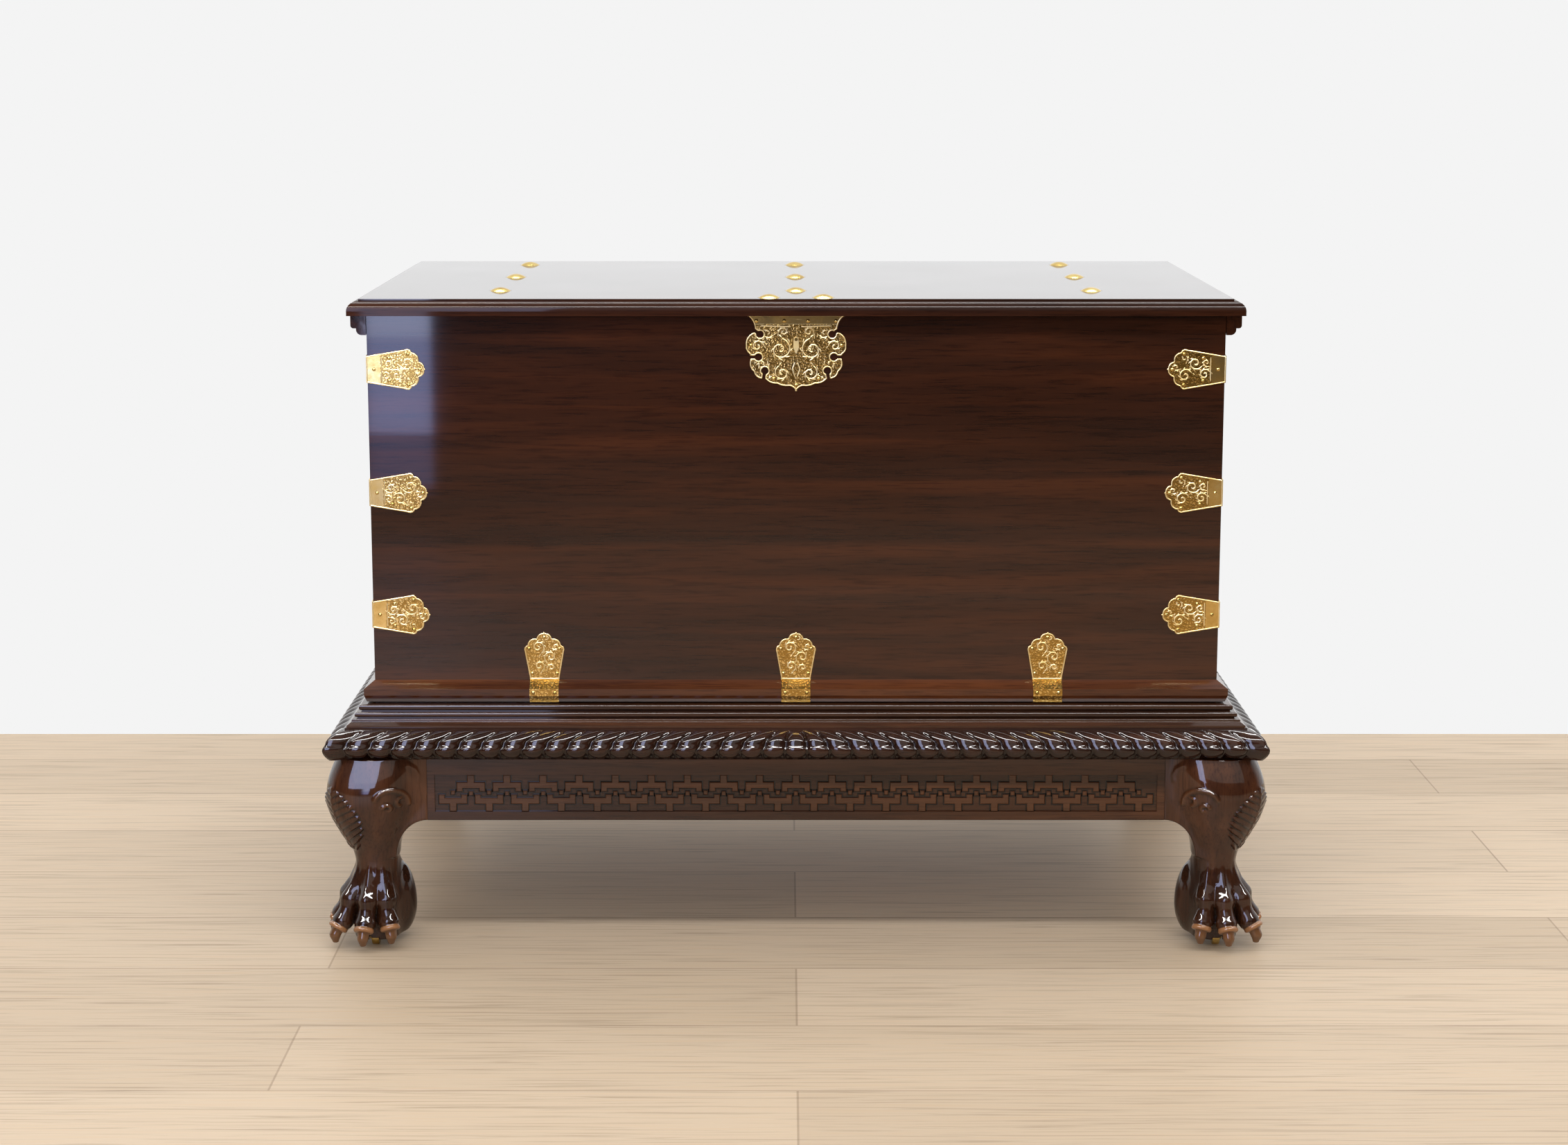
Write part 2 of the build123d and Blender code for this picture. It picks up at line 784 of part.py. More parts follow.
for corner, (centre_x, centre_y) in caster_places.items():
    wheel_y = centre_y - caster_trail

    with BuildPart() as caster_horn:
        with BuildSketch(Plane.XY.offset(crown_low)):
            with Locations((centre_x, centre_y)):
                Circle(horn_crown_radius)
        extrude(amount=horn_crown_thickness)
        with BuildSketch(Plane.XY.offset(crown_high)):
            with Locations((centre_x, centre_y)):
                Circle(stem_radius)
        extrude(amount=stem_length)
        for side in (-1, 1):
            cheek_x = centre_x + side * (cheek_inner + cheek_outer) / 2
            with BuildSketch(Plane(origin=(cheek_x, centre_y, 0), x_dir=(0, 1, 0), z_dir=(1, 0, 0))):
                with Locations((-caster_trail, wheel_radius)):
                    Circle(horn_eye_radius)
                with Locations((-horn_crown_radius / 2, crown_low), (horn_crown_radius / 2, crown_low)):
                    Circle(horn_crown_thickness / 2)
                make_hull()
            extrude(amount=horn_cheek_thickness / 2, both=True)
        # the axle, riveted into both cheeks
        with BuildSketch(Plane(origin=(centre_x, wheel_y, wheel_radius), x_dir=(0, 1, 0), z_dir=(1, 0, 0))):
            Circle(axle_radius)
        extrude(amount=cheek_outer, both=True)
        for side in (-1, 1):
            head_x = centre_x + side * cheek_outer
            head_centre = (head_x, wheel_y, wheel_radius)
            with BuildSketch(Plane(origin=head_centre, x_dir=(0, 1, 0), z_dir=(side, 0, 0))):
                Circle(axle_head_radius)
            extrude(amount=axle_head_thickness)
    write(caster_horn, f"caster_horn_{corner}")

    with BuildPart() as caster_wheel:
        with BuildSketch(Plane(origin=(centre_x, wheel_y, wheel_radius), x_dir=(0, 1, 0), z_dir=(1, 0, 0))):
            Circle(wheel_radius)
            Circle(axle_radius + running_gap, mode=Mode.SUBTRACT)
        extrude(amount=wheel_width / 2, both=True)
        fillet(edges().filter_by(GeomType.CIRCLE).group_by(SortBy.RADIUS)[-1], wheel_rounding)
    write(caster_wheel, f"caster_wheel_{corner}")


# ------------------------------------------------------------------ brass straps and their pins

def strap_outline(length, end_half):
    """A strap that widens to two shoulders and closes in scalloped lobes at a small tip: x along it."""
    shoulder_x = length - strap_shoulder_length
    cusp_x = length - strap_shoulder_length + 4.0
    second_cusp_x = length - strap_cusp_length
    with BuildLine() as outline:
        Line((0, 0), (0, end_half))
        Line((0, end_half), (shoulder_x - 3.0, strap_shoulder - 0.6))
        ThreePointArc(
            (shoulder_x - 3.0, strap_shoulder - 0.6),
            (shoulder_x + 1.5, strap_shoulder - 0.8),
            (cusp_x, strap_shoulder - 4.0),
        )
        ThreePointArc(
            (cusp_x, strap_shoulder - 4.0),
            ((cusp_x + second_cusp_x) / 2 + 2.2, (strap_shoulder + strap_cusp) / 2 + 0.2),
            (second_cusp_x, strap_cusp),
        )
        ThreePointArc(
            (second_cusp_x, strap_cusp),
            (length - strap_cusp_length / 2 + 1.0, strap_cusp / 2 + 1.6),
            (length - 1.6, 1.3),
        )
        Line((length - 1.6, 1.3), (length, 0))
        mirror(about=Plane.XZ)
    make_face(outline.edges())


with BuildPart() as corner_strap:
    # one strap, folded round the front right corner of the case at the height of the origin
    corner = (half_width, -half_depth, 0)
    with BuildSketch(Plane(origin=corner, x_dir=(-1, 0, 0), z_dir=(0, -1, 0))):
        strap_outline(corner_strap_length, corner_strap_end)
    extrude(amount=strap_thickness)
    with BuildSketch(Plane(origin=corner, x_dir=(0, 1, 0), z_dir=(1, 0, 0))):
        strap_outline(corner_strap_length, corner_strap_end)
    extrude(amount=strap_thickness)
    block(
        (half_width, half_width + strap_thickness),
        (-half_depth - strap_thickness, -half_depth),
        (-corner_strap_end, corner_strap_end),
    )
    with BuildSketch(front_plane):
        with Locations(*[(half_width - along, across) for along, across in corner_pins]):
            Circle(pin_hole)
    extrude(amount=strap_thickness, mode=Mode.SUBTRACT)
    with BuildSketch(right_plane):
        with Locations(*[(along - half_depth, across) for along, across in corner_pins]):
            Circle(pin_hole)
    extrude(amount=strap_thickness, mode=Mode.SUBTRACT)

with BuildPart() as corner_straps_front:
    with Locations(*[(0, 0, row) for row in strap_rows]):
        add(corner_strap.part)
    mirror(about=Plane.YZ)
write(corner_straps_front, "corner_straps_front")
write_mirrored(corner_straps_front, "corner_straps_back", Plane.XZ)

with BuildPart() as base_straps:
    for place in base_strap_places:
        shield_foot = (place, -half_depth, base_moulding_high)
        with BuildSketch(Plane(origin=shield_foot, x_dir=(0, 0, 1), z_dir=(0, -1, 0))):
            strap_outline(base_strap_length, base_strap_end)
        extrude(amount=strap_thickness)
        with BuildSketch(Plane(origin=(place, -half_depth, 0), x_dir=(0, -1, 0), z_dir=(-1, 0, 0))):
            with BuildLine():
                Polyline(
                    (0, base_moulding_high + 2 * strap_thickness),
                    (0, base_moulding_high),
                    (base_moulding_projection, base_face_high),
                    (base_moulding_projection, base_face_low),
                    (base_moulding_projection - base_under_splay_setback, base_moulding_low),
                )
                offset(amount=strap_thickness, side=Side.LEFT, kind=Kind.INTERSECTION)
            make_face()
        extrude(amount=base_strap_end, both=True)
    with BuildSketch(front_plane):
        with Locations(*shield_points):
            Circle(pin_hole)
    extrude(amount=strap_thickness, mode=Mode.SUBTRACT)
    with BuildSketch(front_plane.offset(base_moulding_projection)):
        with Locations(*band_points):
            Circle(pin_hole)
    extrude(amount=strap_thickness, mode=Mode.SUBTRACT)
write(base_straps, "base_straps")

def headed_pin(head_radius, head_height, shank_radius, shank_length):
    """A pin with a domed head on the ground plane and its shank below it."""
    dome_radius = (head_radius**2 + head_height**2) / (2 * head_height)
    shoulder = (dome_radius**2 - (head_radius / 2) ** 2) ** 0.5 - (dome_radius - head_height)
    with BuildSketch(Plane.XZ) as profile:
        with BuildLine():
            Polyline(
                (0, head_height),
                (0, -shank_length),
                (shank_radius, -shank_length),
                (shank_radius, 0),
                (head_radius, 0),
            )
            ThreePointArc((head_radius, 0), (head_radius / 2, shoulder), (0, head_height))
        make_face()
    revolve(profile.sketch, axis=Axis.Z)


with BuildPart() as pin:
    headed_pin(
        pin_head_radius,
        pin_head_height,
        pin_shank_radius,
        pin_shank_length + strap_thickness - pin_hole_depth_play,
    )


def set_in(piece, plane, points):
    """Places a copy of a headed piece at each point of a plane, its head outwards."""
    with Locations(*[plane.location * Location((x, y, 0)) for x, y in points]):
        add(piece.part)


with BuildPart() as corner_strap_pins:
    set_in(pin, front_plane.offset(strap_thickness), front_corner_points)
    set_in(pin, back_plane.offset(strap_thickness), front_corner_points)
    set_in(pin, right_plane.offset(strap_thickness), end_corner_points)
    set_in(pin, left_plane.offset(strap_thickness), end_corner_points)
write(corner_strap_pins, "corner_strap_pins")

with BuildPart() as base_strap_pins:
    set_in(pin, front_plane.offset(strap_thickness), shield_points)
    set_in(pin, front_plane.offset(base_moulding_projection + strap_thickness), band_points)
write(base_strap_pins, "base_strap_pins")

with BuildPart() as lock_plate_pins:
    set_in(pin, front_plane.offset(strap_thickness), plate_points)
write(lock_plate_pins, "lock_plate_pins")


# ------------------------------------------------------------------ lock

with BuildPart() as lock_plate:
    with BuildSketch(Plane(origin=(0, -half_depth, plate_top), x_dir=(1, 0, 0), z_dir=(0, -1, 0))):
        with BuildLine():
            last = (0, 0)
            for (out, down), bulge in plate_outline:
                if bulge is None:
                    Line(last, (out, -down))
                else:
                    ThreePointArc(last, (bulge[0], -bulge[1]), (out, -down))
                last = (out, -down)
            mirror(about=Plane.YZ)
        make_face()
        for side in (-1, 1):
            for (out, down), (mouth_out, mouth_down) in plate_notches:
                centre = Vector(side * out, -down)
                mouth = Vector(side * mouth_out, -mouth_down)
                slot_angle = Vector(1, 0).get_signed_angle(mouth - centre, Vector(0, 0, 1))
                with Locations((centre.X, centre.Y)):
                    Circle(plate_notch_radius, mode=Mode.SUBTRACT)
                slot_length = (mouth - centre).length
                with Locations(((centre.X + mouth.X) / 2, (centre.Y + mouth.Y) / 2)):
                    Rectangle(slot_length, plate_slot_width, rotation=slot_angle, mode=Mode.SUBTRACT)
    extrude(amount=strap_thickness)
    with BuildSketch(front_plane):
        with Locations(*plate_points):
            Circle(pin_hole)
        with Locations((0, cover_pivot)):
            Circle(cover_pin_radius + screw_play)
        keyhole(0)
    extrude(amount=strap_thickness, mode=Mode.SUBTRACT)
write(lock_plate, "lock_plate")

lock_inner_x = lock_case_width / 2 - lock_case_wall
lock_inner_y = (lock_case_outer + lock_case_wall, -inner_half_depth - lock_case_wall)
lock_inner_z = (lock_case_low + lock_case_wall, lock_case_high - lock_case_wall)
lock_middle = (lock_inner_y[0] + lock_inner_y[1]) / 2
bolt_line = rim - lock_bolt_drop
bolt_z = (bolt_line - lock_bolt_height / 2, bolt_line + lock_bolt_height / 2)
bolt_front = -tongue_rest - tongue_length
staple_half = staple_width / 2
staple_y = (lock_middle - staple_thickness / 2, lock_middle + staple_thickness / 2)
guide_y = (lock_inner_y[0], lock_inner_y[0] + bolt_guide_thickness)
guide_x = (-lock_inner_x, -tongue_rest)

with BuildPart() as lock_case:
    lock_half = lock_case_width / 2
    block((-lock_half, lock_half), (lock_case_outer, -inner_half_depth), (lock_case_low, lock_case_high))
    block((-lock_inner_x, lock_inner_x), lock_inner_y, lock_inner_z, Mode.SUBTRACT)
    block(
        (-staple_half - staple_play, staple_half + staple_play),
        (staple_y[0] - staple_play, staple_y[1] + staple_play),
        (lock_inner_z[1], lock_case_high),
        Mode.SUBTRACT,
    )
    with BuildSketch(Plane(origin=(0, lock_case_outer, 0), x_dir=(1, 0, 0), z_dir=(0, -1, 0))):
        keyhole(face_gap)
    extrude(amount=-lock_case_wall, mode=Mode.SUBTRACT)
    guide_high = bolt_z[0] - lock_bolt_play
    block(guide_x, guide_y, (guide_high - bolt_guide_thickness, guide_high))
    block(guide_x, guide_y, (bolt_z[1] + lock_bolt_play, lock_inner_z[1]))
write(lock_case, "lock_case")

with BuildPart() as lock_bolt:
    bolt_y = (lock_inner_y[0] + lock_bolt_side_play, lock_inner_y[1] - lock_bolt_side_play)
    block((bolt_front - lock_bolt_length, bolt_front), bolt_y, bolt_z)
    block(
        (bolt_front, bolt_front + tongue_length),
        (lock_middle - tongue_thickness / 2, lock_middle + tongue_thickness / 2),
        (bolt_line - tongue_height / 2, bolt_line + tongue_height / 2),
    )
    # the tail that the key's bit pushes against, behind the guides
    tail_y = (bolt_y[1] - bolt_tail_thickness, bolt_y[1])
    tail_low = bolt_z[0] - bolt_tail_drop
    block((bolt_front - bolt_tail_width, bolt_front), tail_y, (tail_low, bolt_z[0]))
    foot_x = (bolt_front - bolt_tail_width, bolt_front - bolt_tail_width + bolt_foot_length)
    block(foot_x, tail_y, (tail_low, tail_low + bolt_foot_height))
write(lock_bolt, "lock_bolt")

with BuildPart() as keyhole_cover:
    cover_back = strap_thickness + face_gap
    with BuildSketch(front_plane.offset(cover_back)):
        with Locations((0, cover_pivot)):
            Circle(cover_head_radius)
        with Locations((0, cover_pivot - cover_pin_rise)):
            Circle(cover_body_radius)
        with Locations((0, cover_pivot - cover_length + cover_tip_radius)):
            Circle(cover_tip_radius)
        make_hull()
        with Locations((0, cover_pivot)):
            Circle(cover_pin_radius + running_gap, mode=Mode.SUBTRACT)
    extrude(amount=cover_thickness)
write(keyhole_cover, "keyhole_cover")

with BuildPart() as cover_pin:
    cover_head_plane = front_plane.offset(cover_back + cover_thickness + face_gap)
    with BuildSketch(cover_head_plane):
        with Locations((0, cover_pivot)):
            Circle(cover_pin_head_radius)
    extrude(amount=cover_pin_radius)
    with BuildSketch(cover_head_plane):
        with Locations((0, cover_pivot)):
            Circle(cover_pin_radius)
    extrude(amount=-(cover_back + cover_thickness + face_gap + pin_shank_length))
write(cover_pin, "keyhole_cover_pin")


# ------------------------------------------------------------------ lid

strap_half = hinge_strap_width / 2
strap_y = (half_depth - hinge_strap_length, half_depth)
plate_z = (rim, rim + hinge_plate_thickness)
stud_hole = stud_shank_radius + screw_play
stud_base = lid_top - stud_seat_depth
link_y = (link_line - link_plate_width / 2, link_line + link_plate_width / 2)
link_half = link_plate_length / 2

with BuildPart() as lid_panel:
    lid_reach = lid_overhang + lid_edge_projection
    lid_half = half_width + lid_reach
    block((-lid_half, lid_half), (-half_depth - lid_reach, half_depth), (rim, lid_top - lid_step_height))
    top_edges = edges().group_by(Axis.Z)[-1]
    fillet([edge for edge in top_edges if edge.center().Y < half_depth - 1], lid_ovolo_radius)
    slab_half = half_width + lid_overhang
    slab_y = (-half_depth - lid_overhang, half_depth)
    block((-slab_half, slab_half), slab_y, (lid_top - lid_step_height, lid_top))
    for place in hinge_places:
        block(
            (place - strap_half - housing_play, place + strap_half + housing_play),
            (strap_y[0] - housing_play, strap_y[1]),
            plate_z,
            Mode.SUBTRACT,
        )
    block(
        (-link_half - housing_play, link_half + housing_play),
        (link_y[0] - housing_play, link_y[1] + housing_play),
        plate_z,
        Mode.SUBTRACT,
    )
    with BuildSketch(Plane.XY.offset(rim)):
        with Locations(*stud_places, *link_stud_places):
            Circle(stud_hole)
    extrude(amount=lid_thickness, mode=Mode.SUBTRACT)
    # each stud's rim is let into the top, so that it can't turn or catch
    with BuildSketch(Plane.XY.offset(stud_base)):
        with Locations(*stud_places, *link_stud_places):
            Circle(stud_radius + stud_seat_play)
    extrude(amount=stud_seat_depth, mode=Mode.SUBTRACT)
write(lid_panel, "lid_panel")

with BuildPart() as lid_cleat_right:
    bead_low = -cleat_height - cleat_bead_height
    with BuildSketch(Plane(origin=(half_width + cleat_gap, 0, rim), x_dir=(1, 0, 0), z_dir=(0, -1, 0))):
        with BuildLine():
            Polyline(
                (cleat_bead_width - cleat_bead_radius, bead_low),
                (0, bead_low),
                (0, 0),
                (cleat_width, 0),
                (cleat_width, cleat_rounding - cleat_height),
            )
            RadiusArc(
                (cleat_width, cleat_rounding - cleat_height),
                (cleat_width - cleat_rounding, -cleat_height),
                cleat_rounding,
            )
            Polyline(
                (cleat_width - cleat_rounding, -cleat_height),
                (cleat_bead_width, -cleat_height),
                (cleat_bead_width, bead_low + cleat_bead_radius),
            )
            RadiusArc(
                (cleat_bead_width, bead_low + cleat_bead_radius),
                (cleat_bead_width - cleat_bead_radius, bead_low),
                cleat_bead_radius,
            )
        make_face()
    extrude(amount=half_depth, both=True)
write(lid_cleat_right, "lid_cleat_right")
write_mirrored(lid_cleat_right, "lid_cleat_left", Plane.YZ)

stud_head = stud_seat_depth + stud_height
with BuildPart() as stud:
    headed_pin(stud_radius, stud_head, stud_shank_radius, stud_base - rim + nut_height + 1)
with BuildPart() as lid_studs:
    set_in(stud, Plane.XY.offset(stud_base), stud_places)
write(lid_studs, "lid_studs")

with BuildPart() as short_stud:
    headed_pin(stud_radius, stud_head, stud_shank_radius, stud_base - rim)
with BuildPart() as link_studs:
    set_in(short_stud, Plane.XY.offset(stud_base), link_stud_places)
write(link_studs, "link_studs")

with BuildPart() as stud_nuts:
    with BuildSketch(Plane.XY.offset(rim)):
        with Locations(*stud_places):
            RegularPolygon(nut_radius, 6)
        with Locations(*stud_places):
            Circle(stud_hole, mode=Mode.SUBTRACT)
    extrude(amount=-nut_height)
write(stud_nuts, "stud_nuts")

with BuildPart() as link_plate:
    block((-link_half, link_half), link_y, plate_z)
    block((-staple_half, staple_half), staple_y, (rim - staple_depth, rim))
    with BuildSketch(Plane.XY.offset(rim)):
        with Locations(*link_stud_places):
            Circle(stud_hole)
    extrude(amount=hinge_plate_thickness, mode=Mode.SUBTRACT)
    block(
        (-staple_half, staple_half),
        (lock_middle - tongue_thickness / 2 - staple_play, lock_middle + tongue_thickness / 2 + staple_play),
        (bolt_line - tongue_height / 2 - staple_play, bolt_line + tongue_height / 2 + staple_play),
        Mode.SUBTRACT,
    )
write(link_plate, "link_plate")


# ------------------------------------------------------------------ hinges

hinge_axis = half_depth + hinge_back_gap + knuckle_barrel_radius
middle_half = middle_knuckle_length / 2
outer_near = middle_half + face_gap
outer_middle = (outer_near + strap_half) / 2
outer_half = (strap_half - outer_near) / 2
pin_bore = hinge_pin_radius + running_gap
leaf_y = (half_depth, half_depth + hinge_plate_thickness)
leaf_face = back_plane.offset(hinge_plate_thickness)


def barrel(place, radius, half_length, mode=Mode.ADD):
    """A length of round bar on the line of the hinge pins."""
    with BuildSketch(Plane(origin=(place, hinge_axis, rim), x_dir=(0, 1, 0), z_dir=(1, 0, 0))) as bar:
        Circle(radius)
    extrude(bar.sketch, amount=half_length, both=True, mode=mode)


with BuildPart() as hinge_case_leaves:
    for place in hinge_places:
        leaf_z = (rim - hinge_leaf_length, rim - hinge_leaf_clearance)
        block((place - strap_half, place + strap_half), leaf_y, leaf_z)
        block((place - middle_half, place + middle_half), leaf_y, (leaf_z[1], rim))
        barrel(place, knuckle_barrel_radius, middle_half)
        barrel(place, pin_bore, middle_half, Mode.SUBTRACT)
    with BuildSketch(back_plane):
        with Locations(*leaf_screw_points):
            Circle(leaf_screw_radius + screw_play)
    extrude(amount=hinge_plate_thickness, mode=Mode.SUBTRACT)
write(hinge_case_leaves, "hinge_case_leaves")

with BuildPart() as hinge_lid_straps:
    stop_tilt = lid_opening - 90
    stop_out = (0, cos(radians(stop_tilt)), sin(radians(stop_tilt)))
    for place in hinge_places:
        block((place - strap_half, place + strap_half), strap_y, plate_z)
        notch_y = (half_depth - hinge_back_gap, half_depth)
        block((place - outer_near, place + outer_near), notch_y, plate_z, Mode.SUBTRACT)
        for side in (-1, 1):
            arm_x = sorted((place + side * outer_near, place + side * strap_half))
            block(arm_x, (half_depth - hinge_back_gap, hinge_axis), plate_z)
            knuckle_x = place + side * outer_middle
            barrel(knuckle_x, knuckle_barrel_radius, outer_half)
            with BuildSketch(Plane(origin=(knuckle_x, hinge_axis, rim), x_dir=stop_out, z_dir=(1, 0, 0))):
                with Locations((hinge_stop_length / 2, -hinge_stop_thickness / 2)):
                    Rectangle(hinge_stop_length, hinge_stop_thickness)
            extrude(amount=outer_half, both=True)
            barrel(knuckle_x, pin_bore, outer_half, Mode.SUBTRACT)
    with BuildSketch(Plane.XY.offset(rim)):
        with Locations(*stud_places):
            Circle(stud_hole)
    extrude(amount=hinge_plate_thickness, mode=Mode.SUBTRACT)
write(hinge_lid_straps, "hinge_lid_straps")

with BuildPart() as hinge_pins:
    for place in hinge_places:
        barrel(place, hinge_pin_radius, strap_half + running_gap + hinge_pin_head_length)
        for side in (-1, 1):
            head_middle = strap_half + running_gap + hinge_pin_head_length / 2
            barrel(place + side * head_middle, hinge_pin_head_radius, hinge_pin_head_length / 2)
write(hinge_pins, "hinge_pins")

with BuildPart() as leaf_screw:
    headed_pin(
        leaf_screw_head_radius,
        leaf_screw_head_height,
        leaf_screw_radius,
        leaf_screw_length + hinge_plate_thickness - pin_hole_depth_play,
    )
with BuildPart() as hinge_screws:
    set_in(leaf_screw, leaf_face, leaf_screw_points)
write(hinge_screws, "hinge_screws")
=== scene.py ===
import math

import bpy
import numpy as np
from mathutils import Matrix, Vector


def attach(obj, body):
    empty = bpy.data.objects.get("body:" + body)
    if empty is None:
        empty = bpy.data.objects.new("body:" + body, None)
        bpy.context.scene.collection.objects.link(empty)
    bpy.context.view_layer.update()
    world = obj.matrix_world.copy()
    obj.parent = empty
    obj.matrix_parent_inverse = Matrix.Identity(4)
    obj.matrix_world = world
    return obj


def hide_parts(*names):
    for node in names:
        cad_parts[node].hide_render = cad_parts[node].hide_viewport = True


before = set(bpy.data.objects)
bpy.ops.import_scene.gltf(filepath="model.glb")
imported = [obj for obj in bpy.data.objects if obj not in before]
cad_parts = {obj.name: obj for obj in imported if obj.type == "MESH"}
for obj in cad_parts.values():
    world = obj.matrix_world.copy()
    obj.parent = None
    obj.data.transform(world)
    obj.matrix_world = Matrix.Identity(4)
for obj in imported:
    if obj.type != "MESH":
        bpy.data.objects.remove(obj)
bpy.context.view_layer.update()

# --- Room ---
# A pale oak floor, a white wall end beyond it and soft strip lights overhead. The floor is laid in boards
# that run from side to side, and past the wall line it is plain white.


def from_hex(code):
    """An sRGB hex colour as linear light."""
    parts = [int(code[start:start + 2], 16) / 255 for start in (1, 3, 5)]
    return tuple(p / 12.92 if p <= 0.04045 else ((p + 0.055) / 1.055) ** 2.4 for p in parts) + (1.0,)


def add(tree, kind, links=None, stops=None, **settings):
    """Adds a shader node to a tree: its settings, its inputs by name or number, and a ramp's stops.

    A node given as an input stands for its first output.
    """
    made = tree.nodes.new("ShaderNode" + kind)
    for name, value in settings.items():
        setattr(made, name, value)
    for name, value in (links or {}).items():
        if isinstance(value, bpy.types.Node):
            value = value.outputs[0]
        if isinstance(value, bpy.types.NodeSocket):
            tree.links.new(value, made.inputs[name])
        else:
            made.inputs[name].default_value = value
    if stops:
        ramp = made.color_ramp.elements
        while len(ramp) < len(stops):
            ramp.new(0.5)
        for mark, (place, tone) in zip(ramp, stops):
            mark.position = place
            mark.color = from_hex(tone)
    return made


def new_material(name):
    """An empty material with its tree and the object's own coordinates in metres."""
    material = bpy.data.materials.new(name)
    material.use_nodes = True
    material.node_tree.nodes.clear()
    place = add(material.node_tree, "TexCoord").outputs["Object"]
    return material, material.node_tree, place


floor_front, wall_line = -12.0, 0.726
multiplied = {"data_type": "RGBA", "blend_type": "MULTIPLY"}

oak, tree, place = new_material("oak_floor_boards")
# boards 190 mm wide and 1500 mm long, each of its own shade, with open grain drawn about 5 mm wide
boards = add(
    tree, "TexBrick",
    {"Vector": place, "Color1": from_hex("#D2BFA8"), "Color2": from_hex("#BCA992"),
     "Mortar": from_hex("#A6927C"), "Scale": 1.0, "Mortar Size": 0.0016, "Mortar Smooth": 0.6, "Bias": 0.0,
     "Brick Width": 1.5, "Row Height": 0.19},
    offset=0.37,
)
stretched = add(tree, "Mapping", {"Vector": place, "Scale": (2.0, 80.0, 1.0)})
streaks = add(
    tree, "TexNoise",
    {"Vector": stretched, "Scale": 2.4, "Detail": 5.0, "Roughness": 0.6, "Distortion": 0.6},
)
grain = add(
    tree, "ValToRGB", {"Fac": streaks},
    stops=[(0.3, "#B9AFA2"), (0.5, "#FFFFFF"), (0.72, "#FFF6EA")],
)
oak_colour = add(tree, "Mix", {0: 0.6, 6: boards.outputs["Color"], 7: grain}, **multiplied)
# painted shade: the boards' colour darkens from 2 to 5 m before the chest, standing in for the unlit front of
# the room
front_way = add(tree, "SeparateXYZ", {0: place})
lit_part = add(
    tree, "MapRange",
    {"Value": front_way.outputs["Y"], "From Min": -5.5, "From Max": -2.1, "To Min": 0.12, "To Max": 1.0},
    interpolation_type="SMOOTHSTEP",
)
oak_lit = add(tree, "Mix", {0: 1.0, 6: oak_colour.outputs[2], 7: lit_part}, **multiplied)
oak_bump = add(tree, "Bump", {"Strength": 0.15, "Distance": 0.0005, "Height": streaks})
oak_shader = add(
    tree, "BsdfPrincipled",
    {"Base Color": oak_lit.outputs[2], "Roughness": 0.5, "IOR": 1.5, "Specular IOR Level": 0.25,
     "Normal": oak_bump},
)
add(tree, "OutputMaterial", {0: oak_shader})

wall_white, tree, place = new_material("white_wall_end")
wall_glow = add(tree, "Emission", {"Color": from_hex("#F4F4F4"), "Strength": 1.0})
add(tree, "OutputMaterial", {0: wall_glow})

for name, near, far, finish in (
    ("floor", floor_front, wall_line, oak), ("wall_end", wall_line, 14.0, wall_white)
):
    mesh = bpy.data.meshes.new(name)
    mesh.from_pydata([(-14, near, 0), (14, near, 0), (14, far, 0), (-14, far, 0)], [], [(0, 1, 2, 3)])
    ground = bpy.data.objects.new(name, mesh)
    bpy.context.scene.collection.objects.link(ground)
    mesh.materials.append(finish)

# Lamps: size across and along, place, point they face, colour, power in watts, and what they light. The
# overhead strips are tubes, far brighter in the polish than the light they spread. The window is cool, beside
# the camera, and shows only in polish and brass: wide above, and a narrow pane below that dims to its foot.
lamps = (
    ("strip_near", 0.28, 5.5, (0.0, -1.75, 2.55), (0.0, -0.35, 0.2), "#FFFFFF", 64, "matt"),
    ("strip_far", 0.28, 5.5, (0.0, 0.45, 2.55), (0.0, -0.2, 0.2), "#FFFFFF", 18, "matt"),
    ("tube_near", 0.24, 5.5, (0.0, -1.72, 2.48), (0.0, -0.35, 0.2), "#FFFFFF", 200, "gloss"),
    ("tube_far", 0.24, 5.5, (0.0, 0.42, 2.48), (0.0, -0.2, 0.2), "#FFFFFF", 150, "gloss"),
    ("room_fill", 2.6, 5.0, (0.4, -4.6, 2.9), (0.0, 0.0, 0.3), "#FFF8F0", 30, "both"),
    ("cool_window_foot", 0.15, 0.13, (-0.890, -3.2, 0.145), (-0.890, 0.0, 0.145), "#9DB0F4", 0.15, "gloss"),
    ("cool_window_low", 0.15, 0.22, (-0.890, -3.2, 0.32), (-0.890, 0.0, 0.32), "#A8B9F4", 0.80, "gloss"),
    ("cool_window_middle", 0.15, 0.19, (-0.890, -3.2, 0.525), (-0.890, 0.0, 0.525), "#BCC8F2", 0.95, "gloss"),
    ("cool_window_high", 1.30, 2.58, (-1.20, -3.2, 1.91), (-1.20, 0.0, 1.91), "#BCC8F2", 100.0, "gloss"),
)
for name, across, along, spot, target, colour, power, lights in lamps:
    lamp = bpy.data.lights.new(name, "AREA")
    lamp.shape = "RECTANGLE"
    lamp.color = from_hex(colour)[:3]
    lamp.energy = power
    holder = bpy.data.objects.new(name, lamp)
    holder.location = spot
    holder.rotation_euler = (Vector(target) - Vector(spot)).to_track_quat("-Z", "Y").to_euler()
    upright = name.startswith("cool_window")
    lamp.size, lamp.size_y = (across, along) if upright else (along, across)
    holder.visible_camera = False
    holder.visible_diffuse = lights != "gloss"
    holder.visible_glossy = lights != "matt"
    bpy.context.scene.collection.objects.link(holder)

